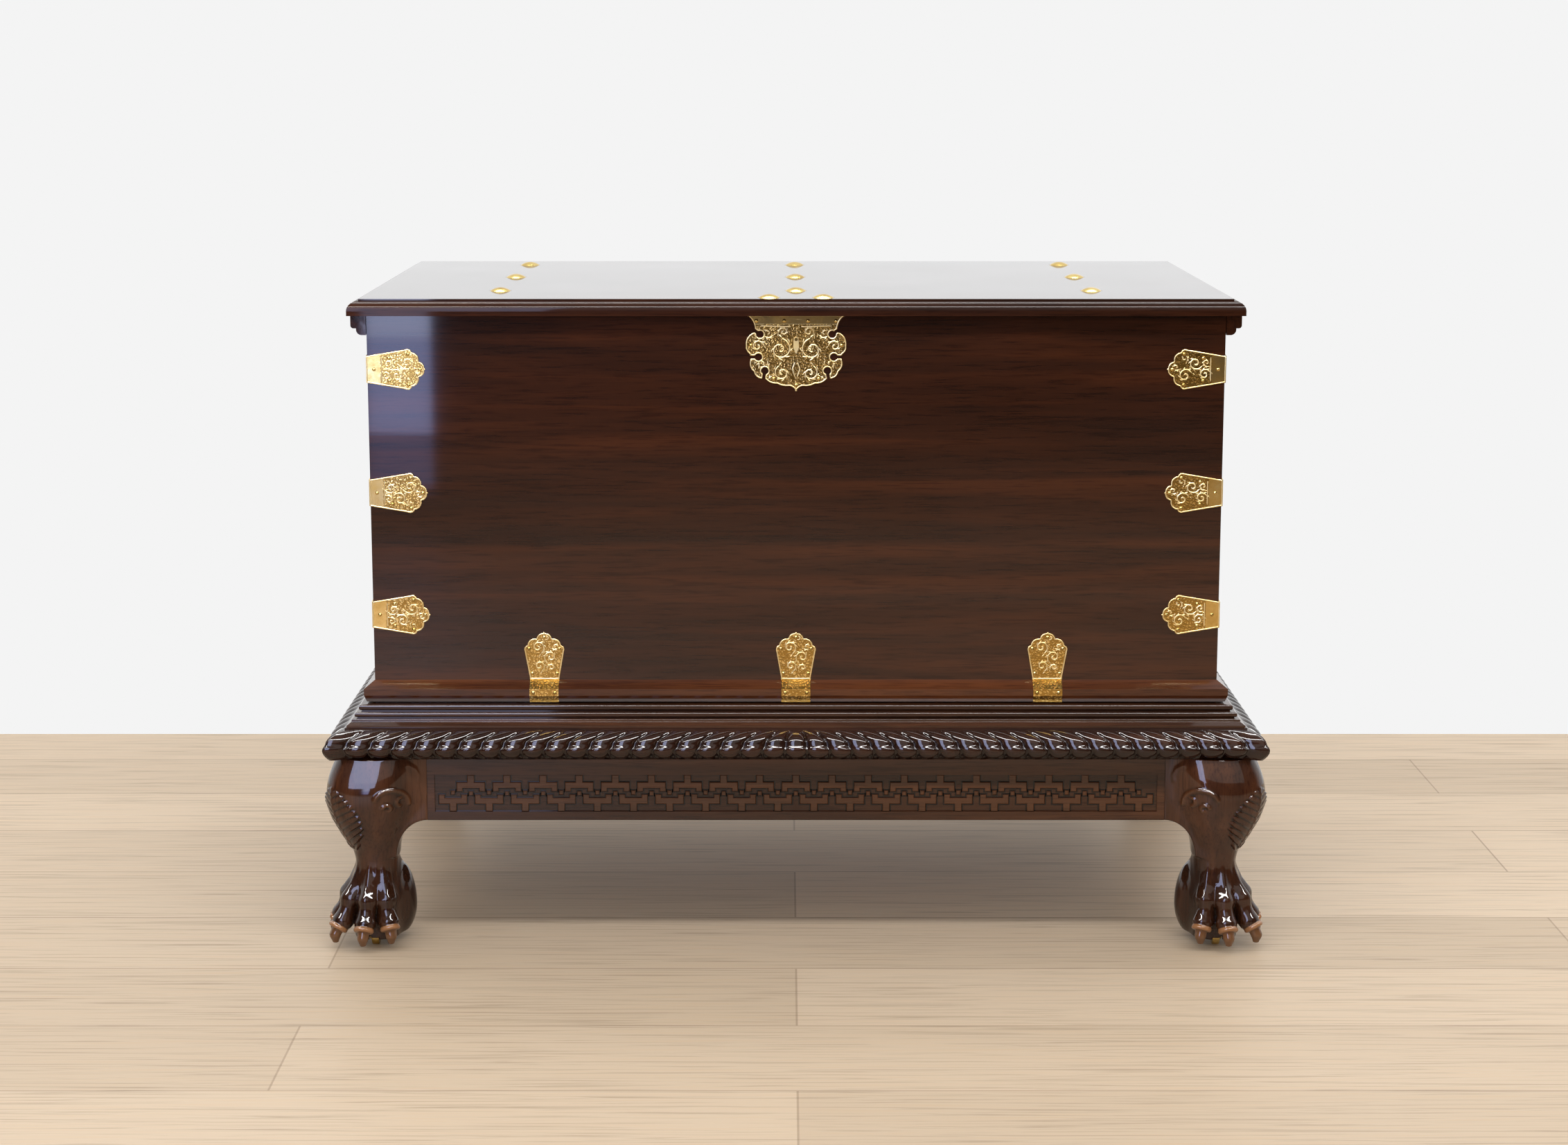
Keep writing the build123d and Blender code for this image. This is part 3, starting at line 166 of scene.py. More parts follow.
# The room's own light: soft and even on matt surfaces. Glossy surfaces show a white wall behind the chest and
# a dim room in front of it.
world = bpy.data.worlds.new("room")
bpy.context.scene.world = world
world.use_nodes = True
world.node_tree.nodes.clear()
tree = world.node_tree
looking = add(tree, "TexCoord").outputs["Generated"]
away = add(tree, "SeparateXYZ", {0: looking})
depth = add(
    tree, "MapRange",
    {"Value": away.outputs["Y"], "From Min": -0.30, "From Max": 0.30, "To Min": 0.0, "To Max": 1.0},
    interpolation_type="SMOOTHSTEP",
)
room_tone = add(
    tree, "Mix", {0: depth, 6: from_hex("#2E2824"), 7: from_hex("#F6F7F8")}, data_type="RGBA"
)
mirrored = add(tree, "Background", {"Color": room_tone.outputs[2], "Strength": 1.2})
soft_light = add(tree, "Background", {"Color": from_hex("#F6F2EC"), "Strength": 0.88})
white_wall = add(tree, "Background", {"Color": from_hex("#F4F4F4"), "Strength": 1.0})
path = add(tree, "LightPath")
lit = add(
    tree, "MixShader",
    {0: path.outputs["Is Glossy Ray"], 1: soft_light, 2: mirrored},
)
seen = add(
    tree, "MixShader", {0: path.outputs["Is Camera Ray"], 1: lit, 2: white_wall}
)
add(tree, "OutputWorld", {0: seen})

camera_lens = bpy.data.cameras.new("camera")
camera_lens.lens = 62.04
camera_lens.sensor_width = 36.0
camera_lens.shift_y = -0.055
camera = bpy.data.objects.new("camera", camera_lens)
camera.location = (-0.0143, -3.4529, 1.0814)
camera.rotation_euler = (math.radians(90 - 9.272), 0.0, 0.0)
bpy.context.scene.collection.objects.link(camera)
bpy.context.scene.camera = camera
bpy.context.scene.view_settings.view_transform = "Standard"

# --- Case and lid ---
# Wide hardwood boards, rubbed down and built up in dark shellac lacquer. The grain shows through as faint
# streaks, and the lacquer lies in a clear glossy skin with a slight ripple.


def lacquered(name, along, colours, skin, handled_below=None):
    """Dark hardwood under clear lacquer: along is the grain's axis, skin the lacquer's roughness.

    Under the height handled_below the lacquer is thin from handling.
    """
    material, tree, place = new_material(name)
    squeeze = {"X": (0.05, 1.0, 1.0), "Y": (1.0, 0.05, 1.0), "Z": (1.0, 1.0, 0.05)}[along]
    run = add(tree, "Mapping", {"Vector": place, "Scale": squeeze})
    # growth figure in bands of about 25 mm, then fibres drawn 2 mm wide so that they show
    figure = add(
        tree, "TexNoise",
        {"Vector": run, "Scale": 38.0, "Detail": 4.0, "Roughness": 0.55, "Distortion": 0.5},
    )
    fibres = add(
        tree, "TexNoise",
        {"Vector": run, "Scale": 420.0, "Detail": 3.0, "Roughness": 0.6, "Distortion": 0.2},
    )
    clouds = add(tree, "TexNoise", {"Vector": place, "Scale": 9.0, "Detail": 3.0, "Roughness": 0.5})
    tone = add(tree, "ValToRGB", {"Fac": figure}, stops=list(zip((0.34, 0.52, 0.68), colours)))
    threads = add(
        tree, "ValToRGB", {"Fac": fibres},
        stops=[(0.34, "#A08C84"), (0.5, "#FFFFFF"), (0.7, "#FFFFFF")],
    )
    streaked = add(tree, "Mix", {0: 0.6, 6: tone, 7: threads}, **multiplied)
    # carved pieces carry how dark each point is, from dirt and painted shade in their hollows, and how worn
    # it is; sawn boards have neither
    dirt_and_painted_shade = add(tree, "Attribute", attribute_name="dirt_and_painted_shade").outputs["Fac"]
    worn = add(tree, "Attribute", attribute_name="worn").outputs["Fac"]
    darkened_by_dirt_and_shade = add(tree, "Mix", {0: dirt_and_painted_shade, 6: streaked.outputs[2], 7: from_hex("#070403")}, data_type="RGBA")
    bare = add(tree, "Mix", {0: worn, 6: darkened_by_dirt_and_shade.outputs[2], 7: from_hex("#A0714B")}, data_type="RGBA")
    rough = add(
        tree, "MapRange",
        {"Value": clouds, "From Min": 0.3, "From Max": 0.7, "To Min": 0.37, "To Max": 0.50},
    )
    ripple = add(tree, "TexNoise", {"Vector": run, "Scale": 60.0, "Detail": 2.0})
    swell = add(tree, "Bump", {"Strength": 0.05, "Distance": 0.0005, "Height": ripple})
    pores = add(
        tree, "Bump",
        {"Strength": 0.12, "Distance": 0.0002, "Height": fibres, "Normal": swell},
    )
    coat = 1.0
    if handled_below:
        height = add(tree, "SeparateXYZ", {0: place})
        coat = add(
            tree, "MapRange",
            {"Value": height.outputs["Z"], "From Min": handled_below, "From Max": handled_below + 0.001,
             "To Min": 0.25, "To Max": 1.0},
        )
    shader = add(
        tree, "BsdfPrincipled",
        {"Base Color": bare.outputs[2], "Roughness": rough, "IOR": 1.5, "Specular IOR Level": 0.03,
         "Normal": pores, "Coat Weight": coat, "Coat Roughness": skin, "Coat IOR": 1.45,
         "Coat Normal": swell},
    )
    add(tree, "OutputMaterial", {0: shader})
    return material


def finish_nodes(material, names):
    """Gives CAD nodes their finish through their material slots."""
    for name in names:
        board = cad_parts[name]
        if not board.material_slots:
            board.data.materials.append(material)
        for held in board.material_slots:
            held.material = material


case_reds = ("#27130A", "#33190C", "#40200F")
case_long = lacquered("lacquered_rosewood_long_grain", "X", case_reds, 0.045)
case_cross = lacquered("lacquered_rosewood_end_boards", "Y", case_reds, 0.045)
lid_wood = lacquered("lacquered_rosewood_lid", "X", case_reds, 0.045, handled_below=0.7855)
finish_nodes(case_long, ["front_board", "back_board"])
finish_nodes(lid_wood, ["lid_panel"])
finish_nodes(case_cross, ["left_end_board", "right_end_board", "lid_cleat_left", "lid_cleat_right"])
# mouldings and rails come in long lengths with their grain along X, and short ones with it along Y
ways = (("long", "X", ("front", "back")), ("short", "Y", ("left", "right")))
# the moulding round the foot is a lighter, redder copy of the case's colours: painted light from the floor
# below
foot_reds_with_painted_light = ("#3A1D0E", "#4A2611", "#593017")
for length, along, pair in ways:
    foot_wood = lacquered(f"rubbed_rosewood_{length}_foot_mouldings", along, foot_reds_with_painted_light, 0.05)
    finish_nodes(foot_wood, [f"base_moulding_{side}" for side in pair])

# --- Stand rails ---
# The stepped mouldings and aprons are the same hardwood, a little browner, polished with shellac over the
# carving.
rail_browns = ("#2E180C", "#3C2111", "#4C2C19")
rail_wood = {}
for length, along, pair in ways:
    rail_wood[along] = lacquered(f"polished_rosewood_{length}_rails", along, rail_browns, 0.05)
    for part in ("stepped_moulding", "apron"):
        finish_nodes(rail_wood[along], [f"{part}_{side}" for side in pair])

# --- Inner wood ---
# The bottom board sits in grooves in the case, and the glue blocks hold the stand's rails to the aprons. All
# are bare softwood, sawn and never polished.
sawn_pine, tree, place = new_material("sawn_pine")
run = add(tree, "Mapping", {"Vector": place, "Scale": (0.06, 1.0, 1.0)})
rings = add(
    tree, "TexNoise",
    {"Vector": run, "Scale": 70.0, "Detail": 5.0, "Roughness": 0.6, "Distortion": 0.7},
)
pine_tone = add(
    tree, "ValToRGB", {"Fac": rings},
    stops=[(0.32, "#7A5230"), (0.5, "#9C7045"), (0.7, "#B58A5A")],
)
saw = add(tree, "Bump", {"Strength": 0.3, "Distance": 0.0004, "Height": rings})
shader = add(
    tree, "BsdfPrincipled",
    {"Base Color": pine_tone, "Roughness": 0.75, "IOR": 1.5, "Normal": saw},
)
add(tree, "OutputMaterial", {0: shader})
finish_nodes(sawn_pine, ["bottom_board", "glue_blocks"])

# --- Lock works and hinges ---
# The lock's case and bolt, the link plate, the hinges, the nuts on the studs and the screws. All are forged
# iron, blacked by the forge and oiled, with brown bloom where the oil has dried.
forged, tree, place = new_material("forged_iron")
scale_marks = add(tree, "TexNoise", {"Vector": place, "Scale": 160.0, "Detail": 5.0, "Roughness": 0.65})
iron_tone = add(
    tree, "ValToRGB", {"Fac": scale_marks},
    stops=[(0.35, "#26231F"), (0.55, "#3A3632"), (0.75, "#5A4636")],
)
iron_rough = add(
    tree, "MapRange",
    {"Value": scale_marks, "From Min": 0.3, "From Max": 0.7, "To Min": 0.42, "To Max": 0.62},
)
hammered = add(tree, "Bump", {"Strength": 0.25, "Distance": 0.0005, "Height": scale_marks})
shader = add(
    tree, "BsdfPrincipled",
    {"Base Color": iron_tone, "Metallic": 0.85, "Roughness": iron_rough,
     "Normal": hammered},
)
add(tree, "OutputMaterial", {0: shader})
finish_nodes(
    forged,
    ["lock_case", "lock_bolt", "stud_nuts", "link_plate", "hinge_case_leaves", "hinge_lid_straps",
     "hinge_pins", "hinge_screws", "stand_screws"],
)

# --- Brass plates and studs ---
# Sheet brass straps and lock plate, cut, engraved all over with scrolling stems and rubbed bright on the high
# lines. The studs, pins and casters are cast and dressed smooth.
# where the fine engraving ends: under the strip along the lock plate's top, and before the corner bands
plain_above, plain_past_x, plain_past_y = 0.7565, 0.4915, 0.2615


def brass(name, colours, rough_low, rough_high, engraved=None):
    """Worn brass: tarnish in soft patches and fine rubbing marks; engraved is the colour of fine stems."""
    material, tree, place = new_material(name)
    patches = add(tree, "TexNoise", {"Vector": place, "Scale": 55.0, "Detail": 4.0, "Roughness": 0.6})
    # rubbing marks drawn about 1 mm apart
    marks = add(tree, "TexNoise", {"Vector": place, "Scale": 900.0, "Detail": 2.0, "Roughness": 0.6})
    tone = add(tree, "ValToRGB", {"Fac": patches}, stops=list(zip((0.32, 0.5, 0.7), colours)))
    colour, height = tone, marks
    if engraved:
        # curled stems in cells of about 3.5 mm, wandering by half a cell
        bend = add(tree, "TexNoise", {"Vector": place, "Scale": 260.0, "Detail": 1.0})
        wander = add(
            tree, "VectorMath", {0: bend.outputs["Color"], 1: (0.004, 0.004, 0.004)}, operation="MULTIPLY"
        )
        wound = add(tree, "VectorMath", {0: place, 1: wander}, operation="ADD")
        cells = add(
            tree, "TexVoronoi", {"Vector": wound, "Scale": 280.0}, feature="DISTANCE_TO_EDGE"
        )
        stems = add(
            tree, "MapRange",
            {"Value": cells.outputs["Distance"], "From Min": 0.10, "From Max": 0.24, "To Min": 1.0,
             "To Max": 0.0},
        )
        # the strip along the lock plate's top and the bands round the corners are left plain
        where = add(tree, "SeparateXYZ", {0: place})
        strip = add(tree, "Math", {0: where.outputs["Z"], 1: plain_above}, operation="GREATER_THAN")
        side = add(tree, "Math", {0: where.outputs["X"]}, operation="ABSOLUTE")
        near = add(tree, "Math", {0: where.outputs["Y"]}, operation="ABSOLUTE")
        end_band = add(tree, "Math", {0: side, 1: plain_past_x}, operation="GREATER_THAN")
        face_band = add(tree, "Math", {0: near, 1: plain_past_y}, operation="GREATER_THAN")
        band = add(tree, "Math", {0: end_band, 1: face_band}, operation="MULTIPLY")
        plain = add(tree, "Math", {0: strip, 1: band}, operation="MAXIMUM")
        cut = add(tree, "Math", {0: 1.0, 1: plain}, operation="SUBTRACT")
        drawn = add(tree, "Math", {0: stems, 1: cut}, operation="MULTIPLY")
        rubbed = add(tree, "Mix", {0: drawn, 6: colour, 7: from_hex(engraved)}, data_type="RGBA")
        raised = add(tree, "Math", {0: drawn, 1: 6.0, 2: height}, operation="MULTIPLY_ADD")
        colour, height = rubbed.outputs[2], raised
    rough = add(
        tree, "MapRange",
        {"Value": patches, "From Min": 0.3, "From Max": 0.7, "To Min": rough_high,
         "To Max": rough_low},
    )
    fine = add(tree, "Bump", {"Strength": 0.16, "Distance": 0.0001, "Height": height})
    shader = add(
        tree, "BsdfPrincipled",
        {"Base Color": colour, "Metallic": 1.0, "Roughness": rough, "Normal": fine},
    )
    add(tree, "OutputMaterial", {0: shader})
    return material


plate_ground = brass("engraved_brass_ground", ("#DEB766", "#ECC87C", "#F6DA96"), 0.15, 0.23, "#B08A45")
bright_line = brass("rubbed_brass_lines", ("#DCC283", "#EAD298", "#F6E6B4"), 0.30, 0.42)
cast_brass = brass("cast_brass", ("#B5954E", "#CDB068", "#DFC684"), 0.14, 0.22)
finish_nodes(plate_ground, ["corner_straps_front", "corner_straps_back", "base_straps", "lock_plate"])
finish_nodes(
    cast_brass,
    ["corner_strap_pins", "base_strap_pins", "lock_plate_pins", "lid_studs", "link_studs",
     "keyhole_cover_pin", "caster_sockets"]
    + [f"caster_{part}_{corner}" for part in ("horn", "wheel")
       for corner in ("front_right", "front_left", "back_right", "back_left")],
)
finish_nodes(bright_line, ["keyhole_cover"])


def place_piece(mesh, material, body):
    """Puts a finished mesh in the scene under its own name, on its body, with its finish."""
    mesh.materials.append(material)
    piece = bpy.data.objects.new(mesh.name, mesh)
    bpy.context.scene.collection.objects.link(piece)
    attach(piece, body)
    return piece


# --- Engraving on the brass ---
# The bold lines of the engraving stand a little proud of the ground: a rim round each plate, and scrolling
# stems that fill it. They are cut in the plate itself, so they ride with it.
case_half_width, case_half_depth = 0.507, 0.277
brass_thick = 0.0012
# in millimetres; the lines on the lock plate are shallower
rim_inset, line_width, line_height, plate_line_height = 0.95, 1.3, 0.28, 0.22
front, back, right, left = Vector((0, -1, 0)), Vector((0, 1, 0)), Vector((1, 0, 0)), Vector((-1, 0, 0))
front_level, end_level = case_half_depth + brass_thick, case_half_width + brass_thick


def outlines(node, facing, level):
    """The closed outlines of a node's flat face that looks one way, in millimetres across and up it."""
    across = Vector((0, 0, 1)).cross(facing)
    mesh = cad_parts[node].data
    spots = [(round(v.co.dot(across) * 1000, 3), round(v.co.z * 1000, 3)) for v in mesh.vertices]
    sides = set()
    for face in mesh.polygons:
        if face.normal.dot(facing) > 0.999 and abs(face.center.dot(facing) - level) < 2e-5:
            ring = [spots[i] for i in face.vertices]
            sides.update(zip(ring, ring[1:] + ring[:1]))
    follow = {a: b for a, b in sides if (b, a) not in sides}
    loops = []
    while follow:
        start, spot = follow.popitem()
        loop = [start]
        while spot in follow:
            loop.append(spot)
            spot = follow.pop(spot)
        loops.append(np.array(loop))
    return loops


def even_steps(line, step, closed):
    """A line redrawn with points at even steps."""
    if closed:
        line = np.concatenate([line, line[:1]])
    run = np.concatenate([[0], np.cumsum(np.hypot(*np.diff(line, axis=0).T))])
    count = max(int(run[-1] / step), 3)
    marks = np.linspace(0, run[-1], count + 1)[: count if closed else count + 1]
    return np.stack([np.interp(marks, run, line[:, i]) for i in (0, 1)], -1)


def keep_inside(line, loops, margin):
    """The stretches of a line that lie inside a face, at least a margin from its edge."""
    x, y = line[:, :1], line[:, 1:]
    inside = np.zeros(len(line), bool)
    near = np.full(len(line), 1e9)
    for loop in loops:
        a, b = loop, np.roll(loop, -1, axis=0)
        crosses = (a[:, 1] > y) != (b[:, 1] > y)
        rise = np.where(a[:, 1] == b[:, 1], 1e-9, b[:, 1] - a[:, 1])
        inside ^= (crosses & (x < a[:, 0] + (y - a[:, 1]) * (b[:, 0] - a[:, 0]) / rise)).sum(1) % 2 == 1
        near = np.minimum(near, np.hypot(x - loop[:, 0], y - loop[:, 1]).min(1))
    good = inside & (near > margin)
    cuts = np.flatnonzero(np.diff(good.astype(int))) + 1
    return [part for part, ok in zip(np.split(line, cuts), np.split(good, cuts)) if ok[0] and len(part) > 2]


def scroll(centre, radius, begin, turns):
    """A stem curling in to its eye, with short curved leaves off its outside, eight to a turn.

    begin is the angle of its outer end, and negative turns wind clockwise.
    """

    def drawn(turned, out):
        angle = math.radians(begin) + turned
        return np.stack([centre[0] + out * np.cos(angle), centre[1] + out * np.sin(angle)], -1)

    part = np.linspace(0, 1, 60)
    grown = [drawn(part * turns * 2 * math.pi, radius * (1 - 0.86 * part ** 0.85))]
    length = 0.5 * radius
    part = np.linspace(0, 1, 8)
    for step in range(int(abs(turns) * 8)):
        turn = math.copysign(step / 8, turns)
        size = radius * (1 - 0.86 * abs(turn / turns) ** 0.85)
        swing = math.copysign(0.55, turns) * part * (length / max(size, 2.0))
        out = size + 0.7 + length * part * (0.5 if size > 0.5 * radius else -0.35)
        grown.append(drawn(turn * 2 * math.pi - swing, out))
    return grown


def sideways(line, closed):
    """The direction to the left of a line at each of its points."""
    ahead = np.roll(line, -1, axis=0) - np.roll(line, 1, axis=0) if closed else np.gradient(line, axis=0)
    ahead = ahead / np.maximum(np.hypot(*ahead.T), 1e-9)[:, None]
    return np.stack([-ahead[:, 1], ahead[:, 0]], -1)


def raised_lines(name, lines, height):
    """Ridged lines in one mesh: each has its points across and up a face, whether it closes, and the face."""
    points, quads = [], []
    for line, closed, facing, level in lines:
        across = Vector((0, 0, 1)).cross(facing)
        aside = sideways(line, closed)
        count = len(line)
        ends = np.minimum(np.arange(count), np.arange(count)[::-1])
        swell = np.ones(count) if closed else np.clip((ends + 1) / 4, 0, 1)
        first = len(points)
        for column, lift in ((-0.5, -0.05), (-0.22, 1.0), (0.22, 1.0), (0.5, -0.05)):
            at = line + aside * (column * line_width * swell)[:, None]
            for (a, b), share in zip(at, swell):
                spot = across * (a / 1000) + facing * (level + height * lift * share / 1000)
                points.append((spot.x, spot.y, b / 1000))
        for column in range(3):
            for i in range(count if closed else count - 1):
                j = (i + 1) % count
                a, b = first + column * count, first + (column + 1) * count
                quads.append((a + i, a + j, b + j, b + i))
    mesh = bpy.data.meshes.new(name)
    mesh.from_pydata(points, [], quads)
    mesh.shade_smooth()
    return mesh


def engraved_face(node, facing, level, stems):
    """A face's rims and the stems that fit on it."""
    loops = [even_steps(loop, 0.8, True) for loop in outlines(node, facing, level)]
    lines = []
    for loop in loops:
        length = np.hypot(*(np.roll(loop, -1, axis=0) - loop).T).sum()
        if length > 30:
            lines.append((loop + rim_inset * sideways(loop, True), True, facing, level))
    for stem in stems:
        for part in keep_inside(even_steps(stem, 0.7, False), loops, 2.2):
            lines.append((part, False, facing, level))
    return lines


def engrave(node, lines, height):
    """Puts a plate's raised lines on it in the bright finish."""
    mesh = raised_lines("engraving_on_" + node, lines, height)
    place_piece(mesh, bright_line, "chest")


plate_edge = max(v.co.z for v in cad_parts["lock_plate"].data.vertices) * 1000
# lock plate: two large scrolls beside the keyhole, two under them, and small ones that fill the lobes
plate_curls = (
    ((19.0, plate_edge - 41.0), 13.5, 100, 1.55),
    ((16.5, plate_edge - 69.0), 9.5, 70, -1.5),
    ((33.5, plate_edge - 21.5), 6.5, 200, 1.2),
    ((15.0, plate_edge - 20.0), 6.0, -20, 1.3),
    ((45.5, plate_edge - 37.0), 7.5, 180, -1.3),
    ((40.0, plate_edge - 58.0), 7.0, 150, 1.3),
    ((29.0, plate_edge - 78.0), 5.0, 100, -1.2),
)
stems = [line * (side, 1) for curl in plate_curls for side in (1, -1) for line in scroll(*curl)]
for side in (1, -1):
    for line in (((1.5, 56), (4.5, 64), (1.0, 74)), ((6.0, 14), (42.0, 13))):
        stems.append(np.array([(side * aside, plate_edge - drop) for aside, drop in line]))
engrave("lock_plate", engraved_face("lock_plate", front, front_level, stems), plate_line_height)

# straps: a stem that waves along the strap with a scroll in each bend; along is from the strap's plain end
strap_curls = (((24.0, 6.0), 7.0, 200, 1.35), ((35.0, -7.5), 8.5, 160, -1.4), ((47.0, 7.5), 8.5, 200, 1.4),
               ((58.0, -2.5), 4.5, 150, -1.2), ((22.0, -8.0), 5.0, 120, -1.2), ((48.0, -13.0), 4.5, 120, 1.2))


def strap_stems(place, turn):
    """The strap's stems, with place as the plain end's middle and turn as the way its length runs."""
    turned = np.array([turn, (-turn[1], turn[0])])
    return [np.array(place) + line @ turned for curl in strap_curls for line in scroll(*curl)]


strap_rows = (407.0, 555.0, 703.0)
# a short bar across each corner strap, beside the plain band
bar_from_end, bar_half = 17.0, 14.5
width_mm, depth_mm = case_half_width * 1000, case_half_depth * 1000
for node, face in (("corner_straps_front", front), ("corner_straps_back", back)):
    lines = []
    for facing, level, half in (
        (face, front_level, width_mm), (right, end_level, depth_mm), (left, end_level, depth_mm)
    ):
        stems = []
        for row in strap_rows:
            for side in (-1, 1):
                stems += strap_stems((side * half, row), (-side, 0))
                bar = side * (half - bar_from_end)
                stems.append(np.array([(bar, row - bar_half), (bar, row + bar_half)]))
        lines += engraved_face(node, facing, level, stems)
    engrave(node, lines, line_height)

stems = []
for middle in (-302.5, 0.0, 302.5):
    stems += strap_stems((middle, 320.0), (0, 1))
engrave("base_straps", engraved_face("base_straps", front, front_level, stems), line_height)

# --- Gadrooned rail ---
# A heavy rounded rail carved into leaning lobes that run out from a straight one in the middle of each side
# to a larger one on each corner. Four lengths, mitred at the corners and polished.
rail_low, rail_high, rail_back = 0.239, 0.275, -0.027
lobe_depth, corner_share = 0.0068, 0.9
# along the section from the lip: where a lobe has risen, where it starts to lean, and how long its tail is
lobe_risen, lean_from, lobe_tail = 0.010, 0.032, 0.013
rail_turn, rail_lip, rail_foot = (0.0565, 0.253), (0.033, 0.273), (0.0495, 0.239)
# each side: half its length, how far it is from the middle, its turn, and the way its grain runs
sides = (
    ("front", case_half_width, case_half_depth, math.pi, "X"),
    ("back", case_half_width, case_half_depth, 0.0, "X"),
    ("right", case_half_depth, case_half_width, -math.pi / 2, "Y"),
    ("left", case_half_depth, case_half_width, math.pi / 2, "Y"),
)


def smooth(edge_from, edge_to, value):
    """A soft step from 0 to 1."""
    part = np.clip((value - edge_from) / (edge_to - edge_from), 0, 1)
    return part * part * (3 - 2 * part)


def ringed_mesh(name, points):
    """A closed mesh from rows of points: each row is a ring, and the first and last are its ends."""
    rows, count = points.shape[:2]
    start = np.arange(rows - 1)[:, None] * count
    first, near = start + np.arange(count), start + (np.arange(count) + 1) % count
    quads = np.stack([first, near, near + count, first + count], -1).reshape(-1, 4)
    ends = [list(range(count))[::-1], list(range((rows - 1) * count, rows * count))]
    mesh = bpy.data.meshes.new(name)
    mesh.from_pydata(points.reshape(-1, 3).tolist(), [], quads.tolist() + ends)
    return mesh


def mark_points(mesh, name, share):
    """Keeps a share for each point of a mesh, which its finish reads."""
    held = mesh.attributes.new(name, "FLOAT", "POINT")
    held.data.foreach_set("value", np.asarray(share).reshape(-1).astype(np.float32))


def turned_to(points, turn):
    """Points drawn along X and outwards to Y, turned to their side."""
    cos, sin = round(math.cos(turn)), round(math.sin(turn))
    x, y, z = np.asarray(points).T
    return np.stack([cos * x - sin * y, sin * x + cos * y, z], -1)


def rail_profile():
    """The rail's section outwards and up, from the lip over the round to the foot."""
    round_out = rail_turn[0] - rail_lip[0]
    round_up = rail_lip[1] - rail_turn[1]
    turns = np.linspace(90, 0, 25)
    out = rail_lip[0] + round_out * np.cos(np.radians(turns))
    up = rail_turn[1] + round_up * np.sin(np.radians(turns))
    under = np.linspace(0, 1, 13)[1:]
    out = np.concatenate([out, rail_turn[0] + (rail_foot[0] - rail_turn[0]) * under ** 1.6])
    up = np.concatenate([up, rail_turn[1] + (rail_foot[1] - rail_turn[1]) * under])
    # a slight waist above the foot, so that each lobe ends in a thumb
    waist = np.exp(-((up - 0.2605) / 0.0035) ** 2) * 0.0016
    return out - 0.8 * waist, up - 0.6 * waist


def gadrooned_rail(name, half_length, lobes):
    """One length of the rail, drawn along X and outwards to Y, with its lobes and how deep each point is."""
    out, up = rail_profile()
    travel = np.concatenate([[0], np.cumsum(np.hypot(np.diff(out), np.diff(up)))])
    normal_out, normal_up = -np.gradient(up), np.gradient(out)
    size = np.hypot(normal_out, normal_up)
    normal_out, normal_up = normal_out / size, normal_up / size
    # a middle lobe, the leaning ones on each side of it, and half of the large one on each corner
    whole = lobes + 0.5 + corner_share
    pitch = (half_length + out[-1]) / whole
    # rows of points follow the lobes, 18 to each and closer together towards its edges
    turns = np.radians(np.linspace(-90, 90, 19)[:-1])
    middle_rows = (np.arange(-lobes, lobes + 1)[:, None] + np.sin(turns)[None, :] / 2).reshape(-1)
    corner_rows = whole - corner_share * np.cos(np.radians(np.linspace(0, 90, 12)))
    phase = np.concatenate([-corner_rows[:0:-1], middle_rows, corner_rows])[:, None]
    reach = np.abs(phase)
    # the lobes are even at the foot of the rail and lean in towards its middle above it
    under = np.maximum(travel - lean_from, 0)
    further = 0.35 * (under - under[-1])[None, :] * smooth(whole, whole - 3, reach)
    lean = (out[None, :] - out[-1] + further) * smooth(-0.2, 2.2, reach)
    across = np.where(reach > lobes + 0.5, (whole - reach) / corner_share, 2 * (phase - np.round(phase)))
    corner = reach > lobes + 0.5
    # each lobe is round across, starts narrow under the lip and closes in a round end under the rail
    rise = smooth(0.0, lobe_risen, travel)[None, :]
    tail = np.clip((travel - (travel[-1] - lobe_tail)) / lobe_tail, 0, 1)[None, :]
    tail = tail * np.where(corner, 0.45, 1.0)
    fullness = np.clip(1 - np.abs(across) ** 2.1 - 0.95 * tail ** 2, 0, 1) ** 0.5
    ridge = 0.34 * np.exp(-((np.abs(across) - 1) / 0.09) ** 2)
    cut = lobe_depth * rise * (1 - np.maximum(fullness, ridge))
    outs = out[None, :] - cut * normal_out[None, :]
    ups = up[None, :] - cut * normal_up[None, :]
    xs = np.sign(phase) * np.minimum(reach * pitch + lean, half_length + outs)
    rows = len(phase)
    skin = np.stack([xs, outs, ups], -1)
    behind = []
    for back_out, back_up in (
        (rail_foot[0] - 0.008, rail_low), (rail_back, rail_low),
        (rail_back, rail_high), (rail_lip[0], rail_high),
    ):
        x = phase[:, 0] / whole * (half_length + back_out)
        behind.append(np.stack([x, np.full(rows, back_out), np.full(rows, back_up)], -1)[:, None, :])
    mesh = ringed_mesh(name, np.concatenate([skin] + behind, axis=1))
    depth = np.concatenate([cut / lobe_depth, np.zeros((rows, len(behind)))], axis=1)
    # the cuts between the lobes are darkened by their depth: dirt and painted shade
    mark_points(mesh, "dirt_and_painted_shade", 0.9 * np.clip(depth, 0, 1) ** 1.3)
    return mesh


gadroon_browns = ("#1E0E07", "#2B150B", "#3B1F11")
gadroon_wood = {
    along: lacquered(f"polished_rosewood_{length}_gadroons", along, gadroon_browns, 0.06)
    for length, along, pair in ways
}
# leaning lobes from the middle of a side to its corner
lobes_to_corner = {"X": 20, "Y": 11}
for side, half_length, from_middle, turn, along in sides:
    mesh = gadrooned_rail(f"gadrooned_rail_{side}", half_length, lobes_to_corner[along])
    points = np.zeros(len(mesh.vertices) * 3)
    mesh.vertices.foreach_get("co", points)
    points = points.reshape(-1, 3)
    points[:, 1] += from_middle
    mesh.vertices.foreach_set("co", turned_to(points, turn).reshape(-1))
    mesh.flip_normals()
    mesh.shade_smooth()
    rail = place_piece(mesh, gadroon_wood[along], "chest")
    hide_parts(f"gadroon_rail_{side}")

